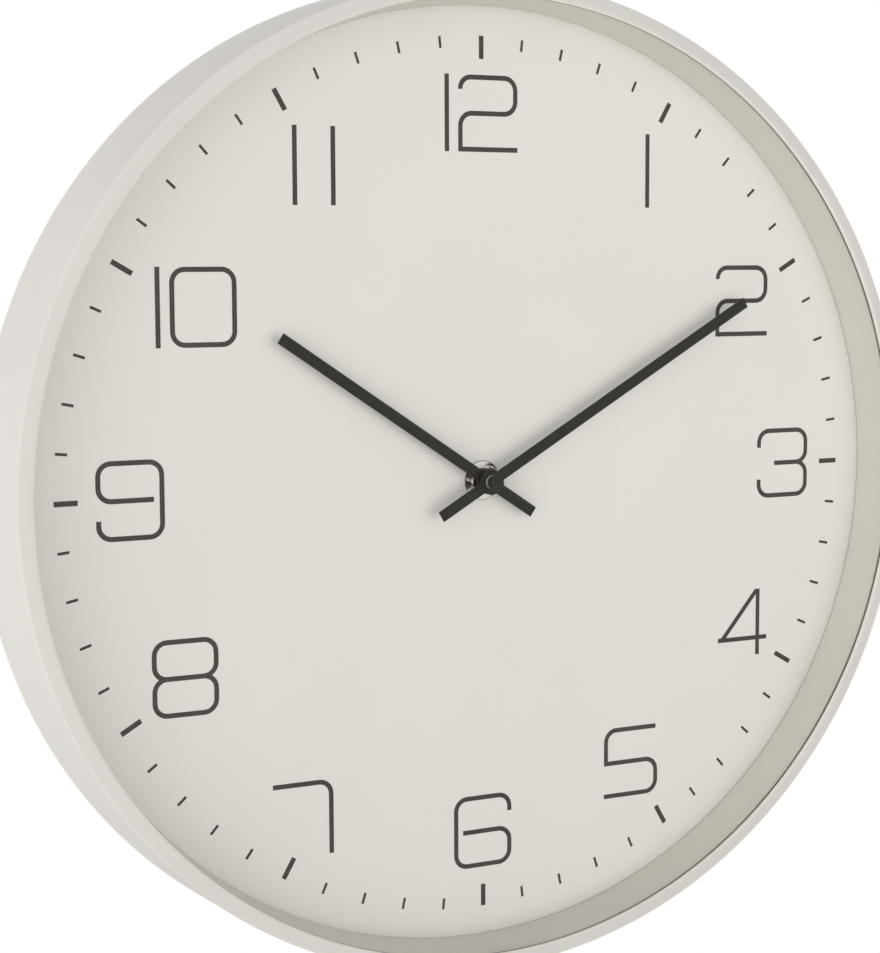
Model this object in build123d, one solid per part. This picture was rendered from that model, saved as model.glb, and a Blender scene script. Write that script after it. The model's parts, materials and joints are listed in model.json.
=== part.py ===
from build123d import *
import os
from math import atan2, cos, degrees, hypot, pi, radians, sin

# Round wall clock with a quartz movement, in millimetres.
# It is modelled lying on its back: X to three o'clock, Y to twelve, Z from the wall to the viewer.
# Every piece is then stood up, so in the files +Z is up, the dial faces -Y and the wall is at y = 0.

# Case, glass and dial
CASE_DIAMETER = 400.0  # across the edge that meets the wall
CASE_DEPTH = 46.0  # wall to the front of the lip
CASE_DRAFT = 2.9  # the radius lost from the wall to the lip
CASE_WALL = 1.6
FRONT_CORNER = 3.5  # outer rounding between side wall and lip
LIP_WIDTH = 6.3  # face of the lip, seen from the front
CORNER_STEPS = 4  # flats that make up the front corner
EDGE_BREAK = 0.4  # broken edges of sheet and mouldings
GASKET_HEIGHT = 0.5
GLASS_THICKNESS = 2.0
REVEAL_INSET = 0.6  # the inner wall's rim stands this far inside the glass's edge
REVEAL_DRAFT = 2.5  # the radius lost from the glass to the dial
REVEAL_WALL = 1.2
DIAL_RECESS = 23.1  # lip to dial face
DIAL_THICKNESS = 1.5
STACK_PLAY = 0.3  # between the glass, ring and dial and what centres them

# Back
BACK_RECESS = 3.5  # wall to the back plate
BACK_THICKNESS = 2.5
SKIRT_WALL = 2.0  # also of the ribs and the window's frame
SKIRT_INSET = 5.6  # the skirt stands this far inside the dial's edge
RIB_COUNT = 6
RIB_HEIGHT = 6.0
LUG_COUNT = 6
LUG_START = 30.0  # degrees from three o'clock to the first lug
LUG_BACKSET = 1.6  # from the glass down to the lug's end
LUG_FOOT_DEPTH = 8.0
LUG_FOOT_REACH = 4.6
LUG_ARC = 3.6  # degrees
WELD_GAP = 0.05
WINDOW_GAP = 3.0
WINDOW_CORNER = 5.0
SCREW_SHANK = 2.9
SCREW_LENGTH = 9.0  # under the head
SCREW_HEAD = 5.6
SCREW_HEAD_HEIGHT = 1.9
SCREW_PLAY = 0.25  # screw in a clear hole
THREAD_PLAY = 0.02  # screw in its own thread

# Hanger, a keyhole plate riveted to the back plate
HANGER_DROP = 48.0  # from the top of the case down to the keyhole's entry
HANGER_WIDTH = 46.0
HANGER_HEIGHT = 30.0
HANGER_THICKNESS = 1.2
HANGER_CORNER = 4.0
KEYHOLE_ENTRY = 10.0
KEYHOLE_SLOT = 5.0
KEYHOLE_RISE = 10.0  # entry centre to the slot's upper centre
HANGER_WINDOW_MARGIN = 4.0
RIVET_SPACING = 34.0
RIVET_SHANK = 3.0
RIVET_HEAD = 5.5
RIVET_HEAD_HEIGHT = 1.0

# Battery cell, size AA, and its contacts
CELL_DIAMETER = 14.5
CELL_LENGTH = 50.5
CELL_NUB = 5.4
CELL_NUB_LENGTH = 1.3
CELL_PLAY = 0.45  # beside the cell
CELL_FLOOR = 0.3  # under the cell
CONTACT_ROOM = 3.1  # for both contacts, along the cell
CONTACT_SHEET = 0.4
CONTACT_WIDTH = 8.0
CONTACT_FLAT = 4.0  # top of the bowed leaf, and each strip's stretch along the board
CONTACT_SIDE = 0.1  # contact to the bay's end wall

# Movement housing
MOVEMENT_WALL = 1.2
MOVEMENT_CORNER = 3.5
COVER_THICKNESS = 1.2
RUBBER_THICKNESS = 0.8
RUBBER_DIAMETER = 20.0
PLATE_THICKNESS = 1.0
PLATE_PLAY = 0.4
POST_DIAMETER = 3.4
POST_INSET = 2.6
TAB_LENGTH = 10.0
TAB_HEIGHT = 2.2
TAB_WALL = 0.8
NOTCH_WIDTH = 20.0
NOTCH_DEPTH = 7.0

# Bush, nut and washer at the middle of the dial
BUSH_DIAMETER = 8.0
BUSH_FLANGE = 11.0
BUSH_FLANGE_HEIGHT = 1.0
BUSH_PROUD = 0.6  # bush beyond the nut
NUT_FLATS = 11.5
NUT_HEIGHT = 2.8
NUT_CHAMFER = 0.7
WASHER_DIAMETER = 16.0
WASHER_THICKNESS = 0.5
HOLE_PLAY = 0.2

# Arbors, pivots and fits
ARBOR = 1.2
PIVOT = 0.8
PIVOT_FIT = 0.03
PIVOT_DEPTH = 0.7
PIVOT_END = 0.1
SHAFT_FIT = 0.05
MINUTE_SHAFT = 3.0
ARBOR_TAIL = 2.0
CLUTCH_SEAT = 2.4
HOUR_PIPE = 5.0
SETTING_SHAFT = 2.0
PRESS_FIT = 0.01

# Gears: teeth and modules
CENTER_TEETH = 48
THIRD_TEETH = 45
THIRD_LEAVES = 6
SECONDS_TEETH = 42
SECONDS_LEAVES = 6
INTERMEDIATE_TEETH = 40
INTERMEDIATE_LEAVES = 7
ROTOR_LEAVES = 8
CANNON_LEAVES = 12
MINUTE_TEETH = 36
MINUTE_LEAVES = 10
HOUR_TEETH = 40
TRAIN_MODULE = 0.40
MOTION_MODULE = 0.48
# A tooth: height above and depth below the pitch circle in modules, then its width at the tip
# and at the root as shares of the pitch
WHEEL_TOOTH = (0.85, 1.10, 0.24, 0.56)
PINION_TOOTH = (0.70, 1.15, 0.22, 0.50)
WHEEL_THICKNESS = 0.8
LAYER_STEP = 1.8  # from one train wheel to the next
LAYER_GAP = 0.6  # plate to the first wheel
TRAIN_FOOT = 1.0  # cover to the last wheel
PINION_RUN = 0.3  # a pinion stands past the wheel that it drives or follows
MOTION_SPACE = 4.8  # plate to the front wall
WEB_GAP = 0.25  # center wheel to the battery bay's wall
# Directions in degrees, counter-clockwise from three o'clock
THIRD_DIRECTION = 150.0
SECONDS_DIRECTION = 75.0
INTERMEDIATE_DIRECTION = 10.0
ROTOR_DIRECTION = -10.0
SETTING_DIRECTION = 11.0

# Stepping motor and circuit
MAGNET_DIAMETER = 5.4
MAGNET_HEIGHT = 2.6
STATOR_HOLE = 6.4
STATOR_RING = 9.0
STATOR_THICKNESS = 0.8
STATOR_ARM = 4.4
STATOR_SPAN = 18.0
CORE_WIDTH = 2.4
BOBBIN_SIZE = 6.0
BOBBIN_FLANGE = 0.8
BOBBIN_LENGTH = 12.0
BOBBIN_WALL = 0.5
COIL_DIAMETER = 5.4
COIL_GAP = 0.6  # stator ring to the bobbin
COIL_MARGIN = 1.4  # bobbin to the side wall
MOTOR_DROP = 2.6  # plate to the coil core
BOSS_DIAMETER = 3.0
BOARD_WIDTH = 11.0
BOARD_HEIGHT = 13.0
BOARD_THICKNESS = 1.0
BOARD_DROP = 1.6
CRYSTAL_DIAMETER = 2.0
CRYSTAL_LENGTH = 6.0
CRYSTAL_INSET = 2.7  # from the board's left edge
CHIP_DIAMETER = 5.0
CHIP_HEIGHT = 0.9
CHIP_EDGE = 0.2  # upright edge of the resin drop
CHIP_INSET = 3.7  # from the board's right edge

# Setting knob
KNOB_DIAMETER = 11.0
KNOB_HEIGHT = 3.2
KNOB_FLOOR = 1.1  # closed back of the knob
KNOB_GAP = 0.4
KNOB_TEETH = 18
# Grips of the knob, written as a gear tooth is
KNOB_TOOTH = (0.5, 0.5, 0.40, 0.60)

# Hands
HAND_WIDTH = 4.5
HAND_THICKNESS = 0.8
HAND_BOSS = 10.4
HAND_BEVEL = 0.15  # along the front edges
HOUR_REACH = 107.5
HOUR_TAIL = 24.5
HOUR_LIFT = 5.4  # dial to the back of the hour hand
HOUR_ANGLE = 303.6  # clockwise from twelve, as shown
MINUTE_REACH = 141.5
MINUTE_TAIL_REACH = 26.0
MINUTE_LIFT = 7.7
MINUTE_ANGLE = 60.0
COLLET_WALL = 1.2
COLLET_GAP = 0.2
HAND_NUT_DIAMETER = 5.8
HAND_NUT_HEIGHT = 3.2
CAP_DIAMETER = 6.3
CAP_HEIGHT = 1.8
CAP_BEVEL = 0.4
CAP_PIN = 1.6

BASE = (Align.CENTER, Align.CENTER, Align.MIN)
LOW = (Align.MIN, Align.MIN, Align.MIN)


def case_radius(height):
    """Outer radius of the case at a height above the wall."""
    return CASE_DIAMETER / 2 - CASE_DRAFT * height / CASE_DEPTH


def case_bore(height):
    """Inner radius of the case at a height above the wall."""
    return case_radius(height) - CASE_WALL * hypot(1, CASE_DRAFT / CASE_DEPTH)


def toward(start, distance, direction):
    """Point at a distance and direction from another."""
    angle = radians(direction)
    return (start[0] + distance * cos(angle), start[1] + distance * sin(angle))


def outside(teeth, module, tooth):
    """Radius over the tips of a gear."""
    return module * (teeth / 2 + tooth[0])


# Heights above the wall
LIP_BACK = CASE_DEPTH - CASE_WALL
GLASS_FRONT = LIP_BACK - GASKET_HEIGHT
GLASS_BACK = GLASS_FRONT - GLASS_THICKNESS
DIAL_FACE = CASE_DEPTH - DIAL_RECESS
DIAL_BACK = DIAL_FACE - DIAL_THICKNESS
BACK_FRONT = BACK_RECESS + BACK_THICKNESS

# Radii of what is stacked in the case
LIP_RADIUS = case_radius(CASE_DEPTH) - LIP_WIDTH
STACK_RADIUS = case_bore(LIP_BACK) - (FRONT_CORNER - CASE_WALL) - STACK_PLAY
LUG_INNER = STACK_RADIUS + STACK_PLAY
SKIRT_RADIUS = STACK_RADIUS - SKIRT_INSET
SCREW_CIRCLE = LUG_INNER - LUG_FOOT_REACH / 2

# Gear centers, from the hands' axis outwards
CENTER = (0.0, 0.0)
THIRD = toward(CENTER, TRAIN_MODULE * (CENTER_TEETH + THIRD_LEAVES) / 2, THIRD_DIRECTION)
SECONDS = toward(THIRD, TRAIN_MODULE * (THIRD_TEETH + SECONDS_LEAVES) / 2, SECONDS_DIRECTION)
INTERMEDIATE = toward(
    SECONDS, TRAIN_MODULE * (SECONDS_TEETH + INTERMEDIATE_LEAVES) / 2, INTERMEDIATE_DIRECTION
)
ROTOR = toward(
    INTERMEDIATE, TRAIN_MODULE * (INTERMEDIATE_TEETH + ROTOR_LEAVES) / 2, ROTOR_DIRECTION
)
SETTING = toward(CENTER, MOTION_MODULE * (CANNON_LEAVES + MINUTE_TEETH) / 2, SETTING_DIRECTION)
HOUR_MODULE = MOTION_MODULE * (CANNON_LEAVES + MINUTE_TEETH) / (MINUTE_LEAVES + HOUR_TEETH)

# The movement is as large as its cell and its wheels need
WEB_INNER = -outside(CENTER_TEETH, TRAIN_MODULE, WHEEL_TOOTH) - WEB_GAP
WEB_OUTER = WEB_INNER - MOVEMENT_WALL
BAY_BOTTOM = WEB_OUTER - CELL_DIAMETER - 2 * CELL_PLAY
MOVEMENT_HEIGHT = 2 * (MOVEMENT_WALL - BAY_BOTTOM)
COIL_SIDE = ROTOR[0] + STATOR_RING / 2 + COIL_GAP
MOVEMENT_WIDTH = max(
    CELL_LENGTH + CONTACT_ROOM + 2 * MOVEMENT_WALL,
    2 * (COIL_SIDE + BOBBIN_SIZE + COIL_MARGIN + MOVEMENT_WALL),
)
TRAIN_SPACE = LAYER_GAP + WHEEL_THICKNESS + 3 * LAYER_STEP + TRAIN_FOOT
MOVEMENT_DEPTH = max(
    MOVEMENT_WALL + CELL_FLOOR + CELL_DIAMETER,
    MOVEMENT_WALL + MOTION_SPACE + PLATE_THICKNESS + TRAIN_SPACE + COVER_THICKNESS,
)
ROOM_X = MOVEMENT_WIDTH / 2 - MOVEMENT_WALL
ROOM_TOP = MOVEMENT_HEIGHT / 2 - MOVEMENT_WALL
MOVEMENT_FRONT = DIAL_BACK - RUBBER_THICKNESS
MOVEMENT_BACK = MOVEMENT_FRONT - MOVEMENT_DEPTH
COVER_FRONT = MOVEMENT_BACK + COVER_THICKNESS
WALL_BACK = MOVEMENT_FRONT - MOVEMENT_WALL
PLATE_FRONT = WALL_BACK - MOTION_SPACE
PLATE_BACK = PLATE_FRONT - PLATE_THICKNESS

# Heights of the train wheels' backs, from the plate down, then of the motion work
CENTER_LAYER = PLATE_BACK - LAYER_GAP - WHEEL_THICKNESS
THIRD_LAYER = CENTER_LAYER - LAYER_STEP
SECONDS_LAYER = THIRD_LAYER - LAYER_STEP
INTERMEDIATE_LAYER = SECONDS_LAYER - LAYER_STEP
CANNON_BACK = PLATE_FRONT + PINION_RUN
MINUTE_LAYER = CANNON_BACK + PINION_RUN
CANNON_FRONT = MINUTE_LAYER + WHEEL_THICKNESS + PINION_RUN
HOUR_LAYER = CANNON_FRONT + 2 * PINION_RUN
HOUR_FRONT = HOUR_LAYER + WHEEL_THICKNESS
CORE_FRONT = PLATE_BACK - MOTOR_DROP
CORE_BACK = CORE_FRONT - STATOR_THICKNESS
STATOR_BACK = CORE_BACK - STATOR_THICKNESS
COIL_X = ROOM_X - COIL_MARGIN - BOBBIN_SIZE / 2
BOARD_FRONT = PLATE_BACK - BOARD_DROP
BOARD_BACK = BOARD_FRONT - BOARD_THICKNESS
KNOB_FRONT = MOVEMENT_BACK - KNOB_GAP
KNOB_BACK = KNOB_FRONT - KNOB_HEIGHT

# Cell and contacts
CELL_Y = WEB_OUTER - CELL_PLAY - CELL_DIAMETER / 2
CELL_Z = WALL_BACK - CELL_FLOOR - CELL_DIAMETER / 2
CONTACT_FACE = ROOM_X - CONTACT_SIDE - CONTACT_SHEET
CELL_BASE = CONTACT_FACE - CELL_LENGTH
BOARD_X = CONTACT_FACE - BOARD_WIDTH
BOARD_Y = WEB_INNER + CONTACT_SHEET

# Heights at the middle of the dial
NUT_BACK = DIAL_FACE + WASHER_THICKNESS
NUT_FRONT = NUT_BACK + NUT_HEIGHT
BUSH_FRONT = NUT_FRONT + BUSH_PROUD
HOUR_HAND_BACK = DIAL_FACE + HOUR_LIFT
HOUR_HAND_FRONT = HOUR_HAND_BACK + HAND_THICKNESS
PIPE_FRONT = HOUR_HAND_FRONT + COLLET_GAP
MINUTE_HAND_BACK = DIAL_FACE + MINUTE_LIFT
MINUTE_HAND_FRONT = MINUTE_HAND_BACK + HAND_THICKNESS
HAND_NUT_FRONT = MINUTE_HAND_FRONT + HAND_NUT_HEIGHT
SHAFT_FRONT = MINUTE_HAND_FRONT + HAND_NUT_HEIGHT / 2


def disc(diameter, bottom, top, at=CENTER):
    """Round solid between two heights."""
    return Pos(at[0], at[1], bottom) * Cylinder(diameter / 2, top - bottom, align=BASE)


def block(x, y, z):
    """Box from three (low, high) pairs."""
    size = Box(x[1] - x[0], y[1] - y[0], z[1] - z[0], align=LOW)
    return Pos(x[0], y[0], z[0]) * size


def slab(width, height, corner, bottom, top, at=CENTER):
    """Rounded rectangle between two heights."""
    outline = Pos(at[0], at[1], bottom) * RectangleRounded(width, height, corner)
    return extrude(outline, top - bottom)


def turned(points):
    """Solid of revolution about Z from (radius, height) corners."""
    return revolve(Plane.XZ * Polygon(*points, align=None), Axis.Z)


def beveled(piece, end, amount):
    """Bevel the edges of a piece at its lowest (0) or highest (-1) end."""
    return chamfer(piece.edges().group_by(Axis.Z)[end], amount)


def around(piece, count, start=0.0):
    """Copies of a piece evenly about Z."""
    return [Rot(0, 0, start + 360 / count * k) * piece for k in range(count)]


def gear(teeth, module, tooth, bottom, top, at, turn):
    """Spur gear whose straight-sided teeth include one centred on the direction turn, in degrees."""
    rise, depth, tip, root = tooth
    inner = module * (teeth / 2 - depth)
    outer = module * (teeth / 2 + rise)
    points = []
    for k in range(teeth):
        middle = radians(turn) + 2 * pi * k / teeth
        for radius, share in ((inner, -root), (outer, -tip), (outer, tip), (inner, root)):
            angle = middle + share * pi * module / (2 * radius)
            points.append((radius * cos(angle), radius * sin(angle)))
    return Pos(at[0], at[1], bottom) * extrude(Polygon(*points, align=None), top - bottom)


def meshing_turn(teeth, turn, other_teeth, direction):
    """Turn of a gear that meshes with one of given teeth and turn, in the direction from it."""
    return direction + 180 - ((turn - direction) * teeth + 180) / other_teeth


def direction(start, end):
    """Direction in degrees from one point to another."""
    return degrees(atan2(end[1] - start[1], end[0] - start[0]))


def front_corner():
    """Points of the rounding between side wall and lip, from the wall inwards."""
    slope = atan2(CASE_DRAFT, CASE_DEPTH)
    height = CASE_DEPTH - FRONT_CORNER
    middle = case_radius(height) - FRONT_CORNER / cos(slope)
    points = []
    for k in range(CORNER_STEPS + 1):
        angle = slope + (pi / 2 - slope) * k / CORNER_STEPS
        points.append((middle + FRONT_CORNER * cos(angle), height + FRONT_CORNER * sin(angle)))
    return points


def case_shell():
    """Spun sheet ring: a tapered side wall that turns in to a narrow front lip."""
    corners = [
        (case_bore(0), 0),
        (case_radius(0) - EDGE_BREAK, 0),
        (case_radius(EDGE_BREAK), EDGE_BREAK),
        *front_corner(),
        (LIP_RADIUS + EDGE_BREAK, CASE_DEPTH),
        (LIP_RADIUS, CASE_DEPTH - EDGE_BREAK),
        (LIP_RADIUS, LIP_BACK),
        (case_bore(LIP_BACK), LIP_BACK),
    ]
    return turned(corners)


def case_lugs():
    """Posts welded inside the wall, which centre the stack and take the back plate's screws."""
    top = GLASS_BACK - LUG_BACKSET
    foot = BACK_FRONT + LUG_FOOT_DEPTH
    section = Polygon(
        (LUG_INNER - LUG_FOOT_REACH, BACK_FRONT),
        (case_bore(BACK_FRONT) - WELD_GAP, BACK_FRONT),
        (case_bore(top) - WELD_GAP, top),
        (LUG_INNER, top),
        (LUG_INNER, foot),
        (LUG_INNER - LUG_FOOT_REACH, foot),
        align=None,
    )
    lug = Rot(0, 0, -LUG_ARC / 2) * revolve(Plane.XZ * section, Axis.Z, LUG_ARC)
    lug -= disc(SCREW_SHANK + 2 * THREAD_PLAY, BACK_FRONT, foot, (SCREW_CIRCLE, 0))
    return around(lug, LUG_COUNT, LUG_START)


def lens_gasket():
    """Flat rubber ring between the lip and the glass."""
    return disc(2 * STACK_RADIUS, GLASS_FRONT, LIP_BACK) - disc(2 * LIP_RADIUS, GLASS_FRONT, LIP_BACK)


def front_glass():
    """Flat round glass."""
    return disc(2 * STACK_RADIUS, GLASS_BACK, GLASS_FRONT)


def reveal_ring():
    """Ring whose tapered inner wall runs from the glass down to a flange on the dial."""
    front = STACK_RADIUS - REVEAL_INSET - REVEAL_WALL
    back = front - REVEAL_DRAFT
    corners = [
        (back, DIAL_FACE),
        (STACK_RADIUS, DIAL_FACE),
        (STACK_RADIUS, DIAL_FACE + REVEAL_WALL),
        (back + REVEAL_WALL, DIAL_FACE + REVEAL_WALL),
        (front + REVEAL_WALL, GLASS_BACK),
        (front, GLASS_BACK),
    ]
    return turned(corners)


def dial_plate():
    """Sheet disc with the hole for the bush."""
    hole = disc(BUSH_DIAMETER + 2 * HOLE_PLAY, DIAL_BACK, DIAL_FACE)
    return disc(2 * STACK_RADIUS, DIAL_BACK, DIAL_FACE) - hole


def back_plate():
    """Moulded back with a skirt that holds the dial, ribs, and windows for movement and hanger."""
    window_width = MOVEMENT_WIDTH + 2 * WINDOW_GAP
    window_height = MOVEMENT_HEIGHT + 2 * WINDOW_GAP
    rim = case_bore(BACK_FRONT) - STACK_PLAY
    plate = disc(2 * rim, BACK_RECESS, BACK_FRONT)
    plate += disc(2 * SKIRT_RADIUS, BACK_FRONT, DIAL_BACK)
    plate -= disc(2 * (SKIRT_RADIUS - SKIRT_WALL), BACK_FRONT, DIAL_BACK)
    frame_top = BACK_FRONT + RIB_HEIGHT
    frame_size = (window_width + 2 * SKIRT_WALL, window_height + 2 * SKIRT_WALL)
    plate += slab(*frame_size, WINDOW_CORNER + SKIRT_WALL, BACK_FRONT, frame_top)
    rib_start = min(window_width, window_height) / 2 + SKIRT_WALL / 2
    rib_end = SKIRT_RADIUS - SKIRT_WALL / 2
    rib = block((rib_start, rib_end), (-SKIRT_WALL / 2, SKIRT_WALL / 2), (BACK_FRONT, frame_top))
    plate += around(rib, RIB_COUNT)
    plate -= slab(window_width, window_height, WINDOW_CORNER, BACK_RECESS, frame_top)
    keyhole = hanger_entry()
    opening = KEYHOLE_ENTRY + 2 * HANGER_WINDOW_MARGIN
    middle = (keyhole[0], keyhole[1] + KEYHOLE_RISE / 2)
    plate -= slab(opening, opening + KEYHOLE_RISE, HANGER_CORNER, BACK_RECESS, BACK_FRONT, middle)
    for x in (-RIVET_SPACING / 2, RIVET_SPACING / 2):
        plate -= disc(RIVET_SHANK + 2 * THREAD_PLAY, BACK_RECESS, BACK_FRONT, (x, middle[1]))
    screw_hole = disc(SCREW_SHANK + 2 * SCREW_PLAY, BACK_RECESS, BACK_FRONT, (SCREW_CIRCLE, 0))
    plate -= around(screw_hole, LUG_COUNT, LUG_START)
    return plate


def back_screws():
    """Pan-head screws through the back plate into the lugs."""
    place = (SCREW_CIRCLE, 0)
    head = beveled(disc(SCREW_HEAD, BACK_RECESS - SCREW_HEAD_HEIGHT, BACK_RECESS, place), 0, EDGE_BREAK)
    screw = head + disc(SCREW_SHANK, BACK_RECESS, BACK_RECESS + SCREW_LENGTH, place)
    return around(screw, LUG_COUNT, LUG_START)


def hanger_entry():
    """Center of the keyhole's round entry."""
    return (0.0, CASE_DIAMETER / 2 - HANGER_DROP)


def hanger_plate():
    """Steel strap with a keyhole for the head of a wall screw."""
    entry = hanger_entry()
    upper = (entry[0], entry[1] + KEYHOLE_RISE)
    middle = (entry[0], entry[1] + KEYHOLE_RISE / 2)
    back = BACK_RECESS - HANGER_THICKNESS
    plate = slab(HANGER_WIDTH, HANGER_HEIGHT, HANGER_CORNER, back, BACK_RECESS, middle)
    plate -= disc(KEYHOLE_ENTRY, back, BACK_RECESS, entry)
    plate -= disc(KEYHOLE_SLOT, back, BACK_RECESS, upper)
    slot_x = (entry[0] - KEYHOLE_SLOT / 2, entry[0] + KEYHOLE_SLOT / 2)
    plate -= block(slot_x, (entry[1], upper[1]), (back, BACK_RECESS))
    for x in (-RIVET_SPACING / 2, RIVET_SPACING / 2):
        plate -= disc(RIVET_SHANK + 2 * THREAD_PLAY, back, BACK_RECESS, (x, middle[1]))
    return plate


def hanger_rivets():
    """Two blind rivets with low heads on the wall side."""
    y = hanger_entry()[1] + KEYHOLE_RISE / 2
    plate_back = BACK_RECESS - HANGER_THICKNESS
    rivets = []
    for x in (-RIVET_SPACING / 2, RIVET_SPACING / 2):
        head = disc(RIVET_HEAD, plate_back - RIVET_HEAD_HEIGHT, plate_back, (x, y))
        head = beveled(head, 0, EDGE_BREAK)
        rivets.append(head + disc(RIVET_SHANK, plate_back, BACK_FRONT, (x, y)))
    return rivets


def plate_posts():
    """Places of the posts that carry the gear plate."""
    x = ROOM_X - POST_INSET
    return [(sx, sy) for sx in (-x, x) for sy in (WEB_INNER + POST_INSET, ROOM_TOP - POST_INSET)]


def contact_notches():
    """Gaps in the bay's wall through which both contacts reach the circuit."""
    y = (WEB_OUTER, WEB_INNER)
    z = (COVER_FRONT, CELL_Z + CONTACT_WIDTH / 2 + CONTACT_SHEET)
    width = CONTACT_SIDE + 2 * CONTACT_SHEET
    return block((ROOM_X - width, ROOM_X), y, z) + block((-ROOM_X, width - ROOM_X), y, z)


def movement_case():
    """Moulded tray: the battery bay below, the gear room above, both open to the wall."""
    tray = slab(MOVEMENT_WIDTH, MOVEMENT_HEIGHT, MOVEMENT_CORNER, MOVEMENT_BACK, MOVEMENT_FRONT)
    side = (-ROOM_X, ROOM_X)
    tray -= block(side, (WEB_INNER, ROOM_TOP), (MOVEMENT_BACK, WALL_BACK))
    tray -= block(side, (BAY_BOTTOM, WEB_OUTER), (MOVEMENT_BACK, WALL_BACK))
    full = (-MOVEMENT_WIDTH / 2, MOVEMENT_WIDTH / 2)
    tray -= block(full, (WEB_OUTER, MOVEMENT_HEIGHT / 2), (MOVEMENT_BACK, COVER_FRONT))
    notch = (-NOTCH_WIDTH / 2, NOTCH_WIDTH / 2)
    tray -= block(notch, (-MOVEMENT_HEIGHT / 2, BAY_BOTTOM), (MOVEMENT_BACK, MOVEMENT_BACK + NOTCH_DEPTH))
    tray -= contact_notches()
    for post in plate_posts():
        tray += disc(POST_DIAMETER, PLATE_FRONT, WALL_BACK, post)
    tray -= disc(BUSH_DIAMETER + 2 * PRESS_FIT, WALL_BACK, MOVEMENT_FRONT)
    tray -= disc(PIVOT + 2 * PIVOT_FIT, WALL_BACK, WALL_BACK + PIVOT_DEPTH, SETTING)
    return tray


def movement_cover():
    """Lid of the gear room, with the wheels' rear pivots and the setting shaft's hole."""
    lid = slab(MOVEMENT_WIDTH, MOVEMENT_HEIGHT, MOVEMENT_CORNER, MOVEMENT_BACK, COVER_FRONT)
    full = (-MOVEMENT_WIDTH / 2, MOVEMENT_WIDTH / 2)
    lid -= block(full, (-MOVEMENT_HEIGHT / 2, WEB_OUTER), (MOVEMENT_BACK, COVER_FRONT))
    tab_y = (ROOM_TOP / 2 - TAB_LENGTH / 2, ROOM_TOP / 2 + TAB_LENGTH / 2)
    edge = ROOM_X - CONTACT_SIDE
    for x in ((-edge, TAB_WALL - edge), (edge - TAB_WALL, edge)):
        lid += block(x, tab_y, (COVER_FRONT, COVER_FRONT + TAB_HEIGHT))
    for place in (CENTER, THIRD, SECONDS, INTERMEDIATE, ROTOR):
        lid -= disc(PIVOT + 2 * PIVOT_FIT, COVER_FRONT - PIVOT_DEPTH, COVER_FRONT, place)
    lid -= disc(SETTING_SHAFT + 2 * SHAFT_FIT, MOVEMENT_BACK, COVER_FRONT, SETTING)
    return lid


def motor_bosses():
    """Places of the bosses that carry the motor's ends."""
    reach = STATOR_SPAN / 2 - CORE_WIDTH / 2
    return [(ROTOR[0], ROTOR[1] - reach), (ROTOR[0], ROTOR[1] + reach)]


def gear_plate():
    """Inner plate between the train and the motion work, with bosses for motor and circuit."""
    x = ROOM_X - PLATE_PLAY
    y = (WEB_INNER + PLATE_PLAY, ROOM_TOP - PLATE_PLAY)
    plate = block((-x, x), y, (PLATE_BACK, PLATE_FRONT))
    for boss in motor_bosses():
        plate += disc(BOSS_DIAMETER, CORE_FRONT, PLATE_BACK, boss)
    inset = BOSS_DIAMETER
    for side in (inset, BOARD_WIDTH - inset):
        boss = (BOARD_X + side, BOARD_Y + BOARD_HEIGHT / 2)
        plate += disc(BOSS_DIAMETER, BOARD_FRONT, PLATE_BACK, boss)
    plate -= disc(MINUTE_SHAFT + 2 * SHAFT_FIT, PLATE_BACK, PLATE_FRONT)
    plate -= disc(SETTING_SHAFT + 2 * SHAFT_FIT, PLATE_BACK, PLATE_FRONT, SETTING)
    for place in (THIRD, SECONDS, INTERMEDIATE, ROTOR):
        plate -= disc(PIVOT + 2 * PIVOT_FIT, PLATE_BACK, PLATE_FRONT, place)
    return plate


def center_bush():
    """Brass bush that the nut clamps to the dial; the hour pipe turns in it."""
    bush = disc(BUSH_FLANGE, WALL_BACK - BUSH_FLANGE_HEIGHT, WALL_BACK)
    bush += disc(BUSH_DIAMETER, WALL_BACK, BUSH_FRONT)
    return bush - disc(HOUR_PIPE + 2 * SHAFT_FIT, WALL_BACK - BUSH_FLANGE_HEIGHT, BUSH_FRONT)


def washer(outer, bottom, top):
    """Ring that fits over the bush."""
    return disc(outer, bottom, top) - disc(BUSH_DIAMETER + 2 * HOLE_PLAY, bottom, top)


def bush_nut():
    """Hexagon nut, chamfered on its front."""
    hexagon = RegularPolygon(NUT_FLATS / 2, 6, major_radius=False)
    nut = Pos(0, 0, NUT_BACK) * extrude(hexagon, NUT_HEIGHT)
    corner = NUT_FLATS / 2 / cos(pi / 6)
    cone = turned(
        [
            (0, NUT_BACK),
            (corner, NUT_BACK),
            (corner, NUT_FRONT - NUT_CHAMFER / 2),
            (corner - NUT_CHAMFER, NUT_FRONT),
            (0, NUT_FRONT),
        ]
    )
    return (nut & cone) - disc(BUSH_DIAMETER + 2 * THREAD_PLAY, NUT_BACK, NUT_FRONT)


def battery():
    """AA cell lying along X, its nub to the right."""
    body_end = CONTACT_FACE - CELL_NUB_LENGTH
    cell = Cylinder(CELL_DIAMETER / 2, body_end - CELL_BASE, align=BASE)
    cell = chamfer(cell.edges(), EDGE_BREAK)
    nub_base = body_end - CELL_BASE
    cell += Pos(0, 0, nub_base) * Cylinder(CELL_NUB / 2, CELL_NUB_LENGTH, align=BASE)
    return Pos(CELL_BASE, CELL_Y, CELL_Z) * Rot(0, 90, 0) * cell


def contact_span():
    """Heights between which both contact strips lie."""
    return (CELL_Z - CONTACT_WIDTH / 2, CELL_Z + CONTACT_WIDTH / 2)


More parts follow.
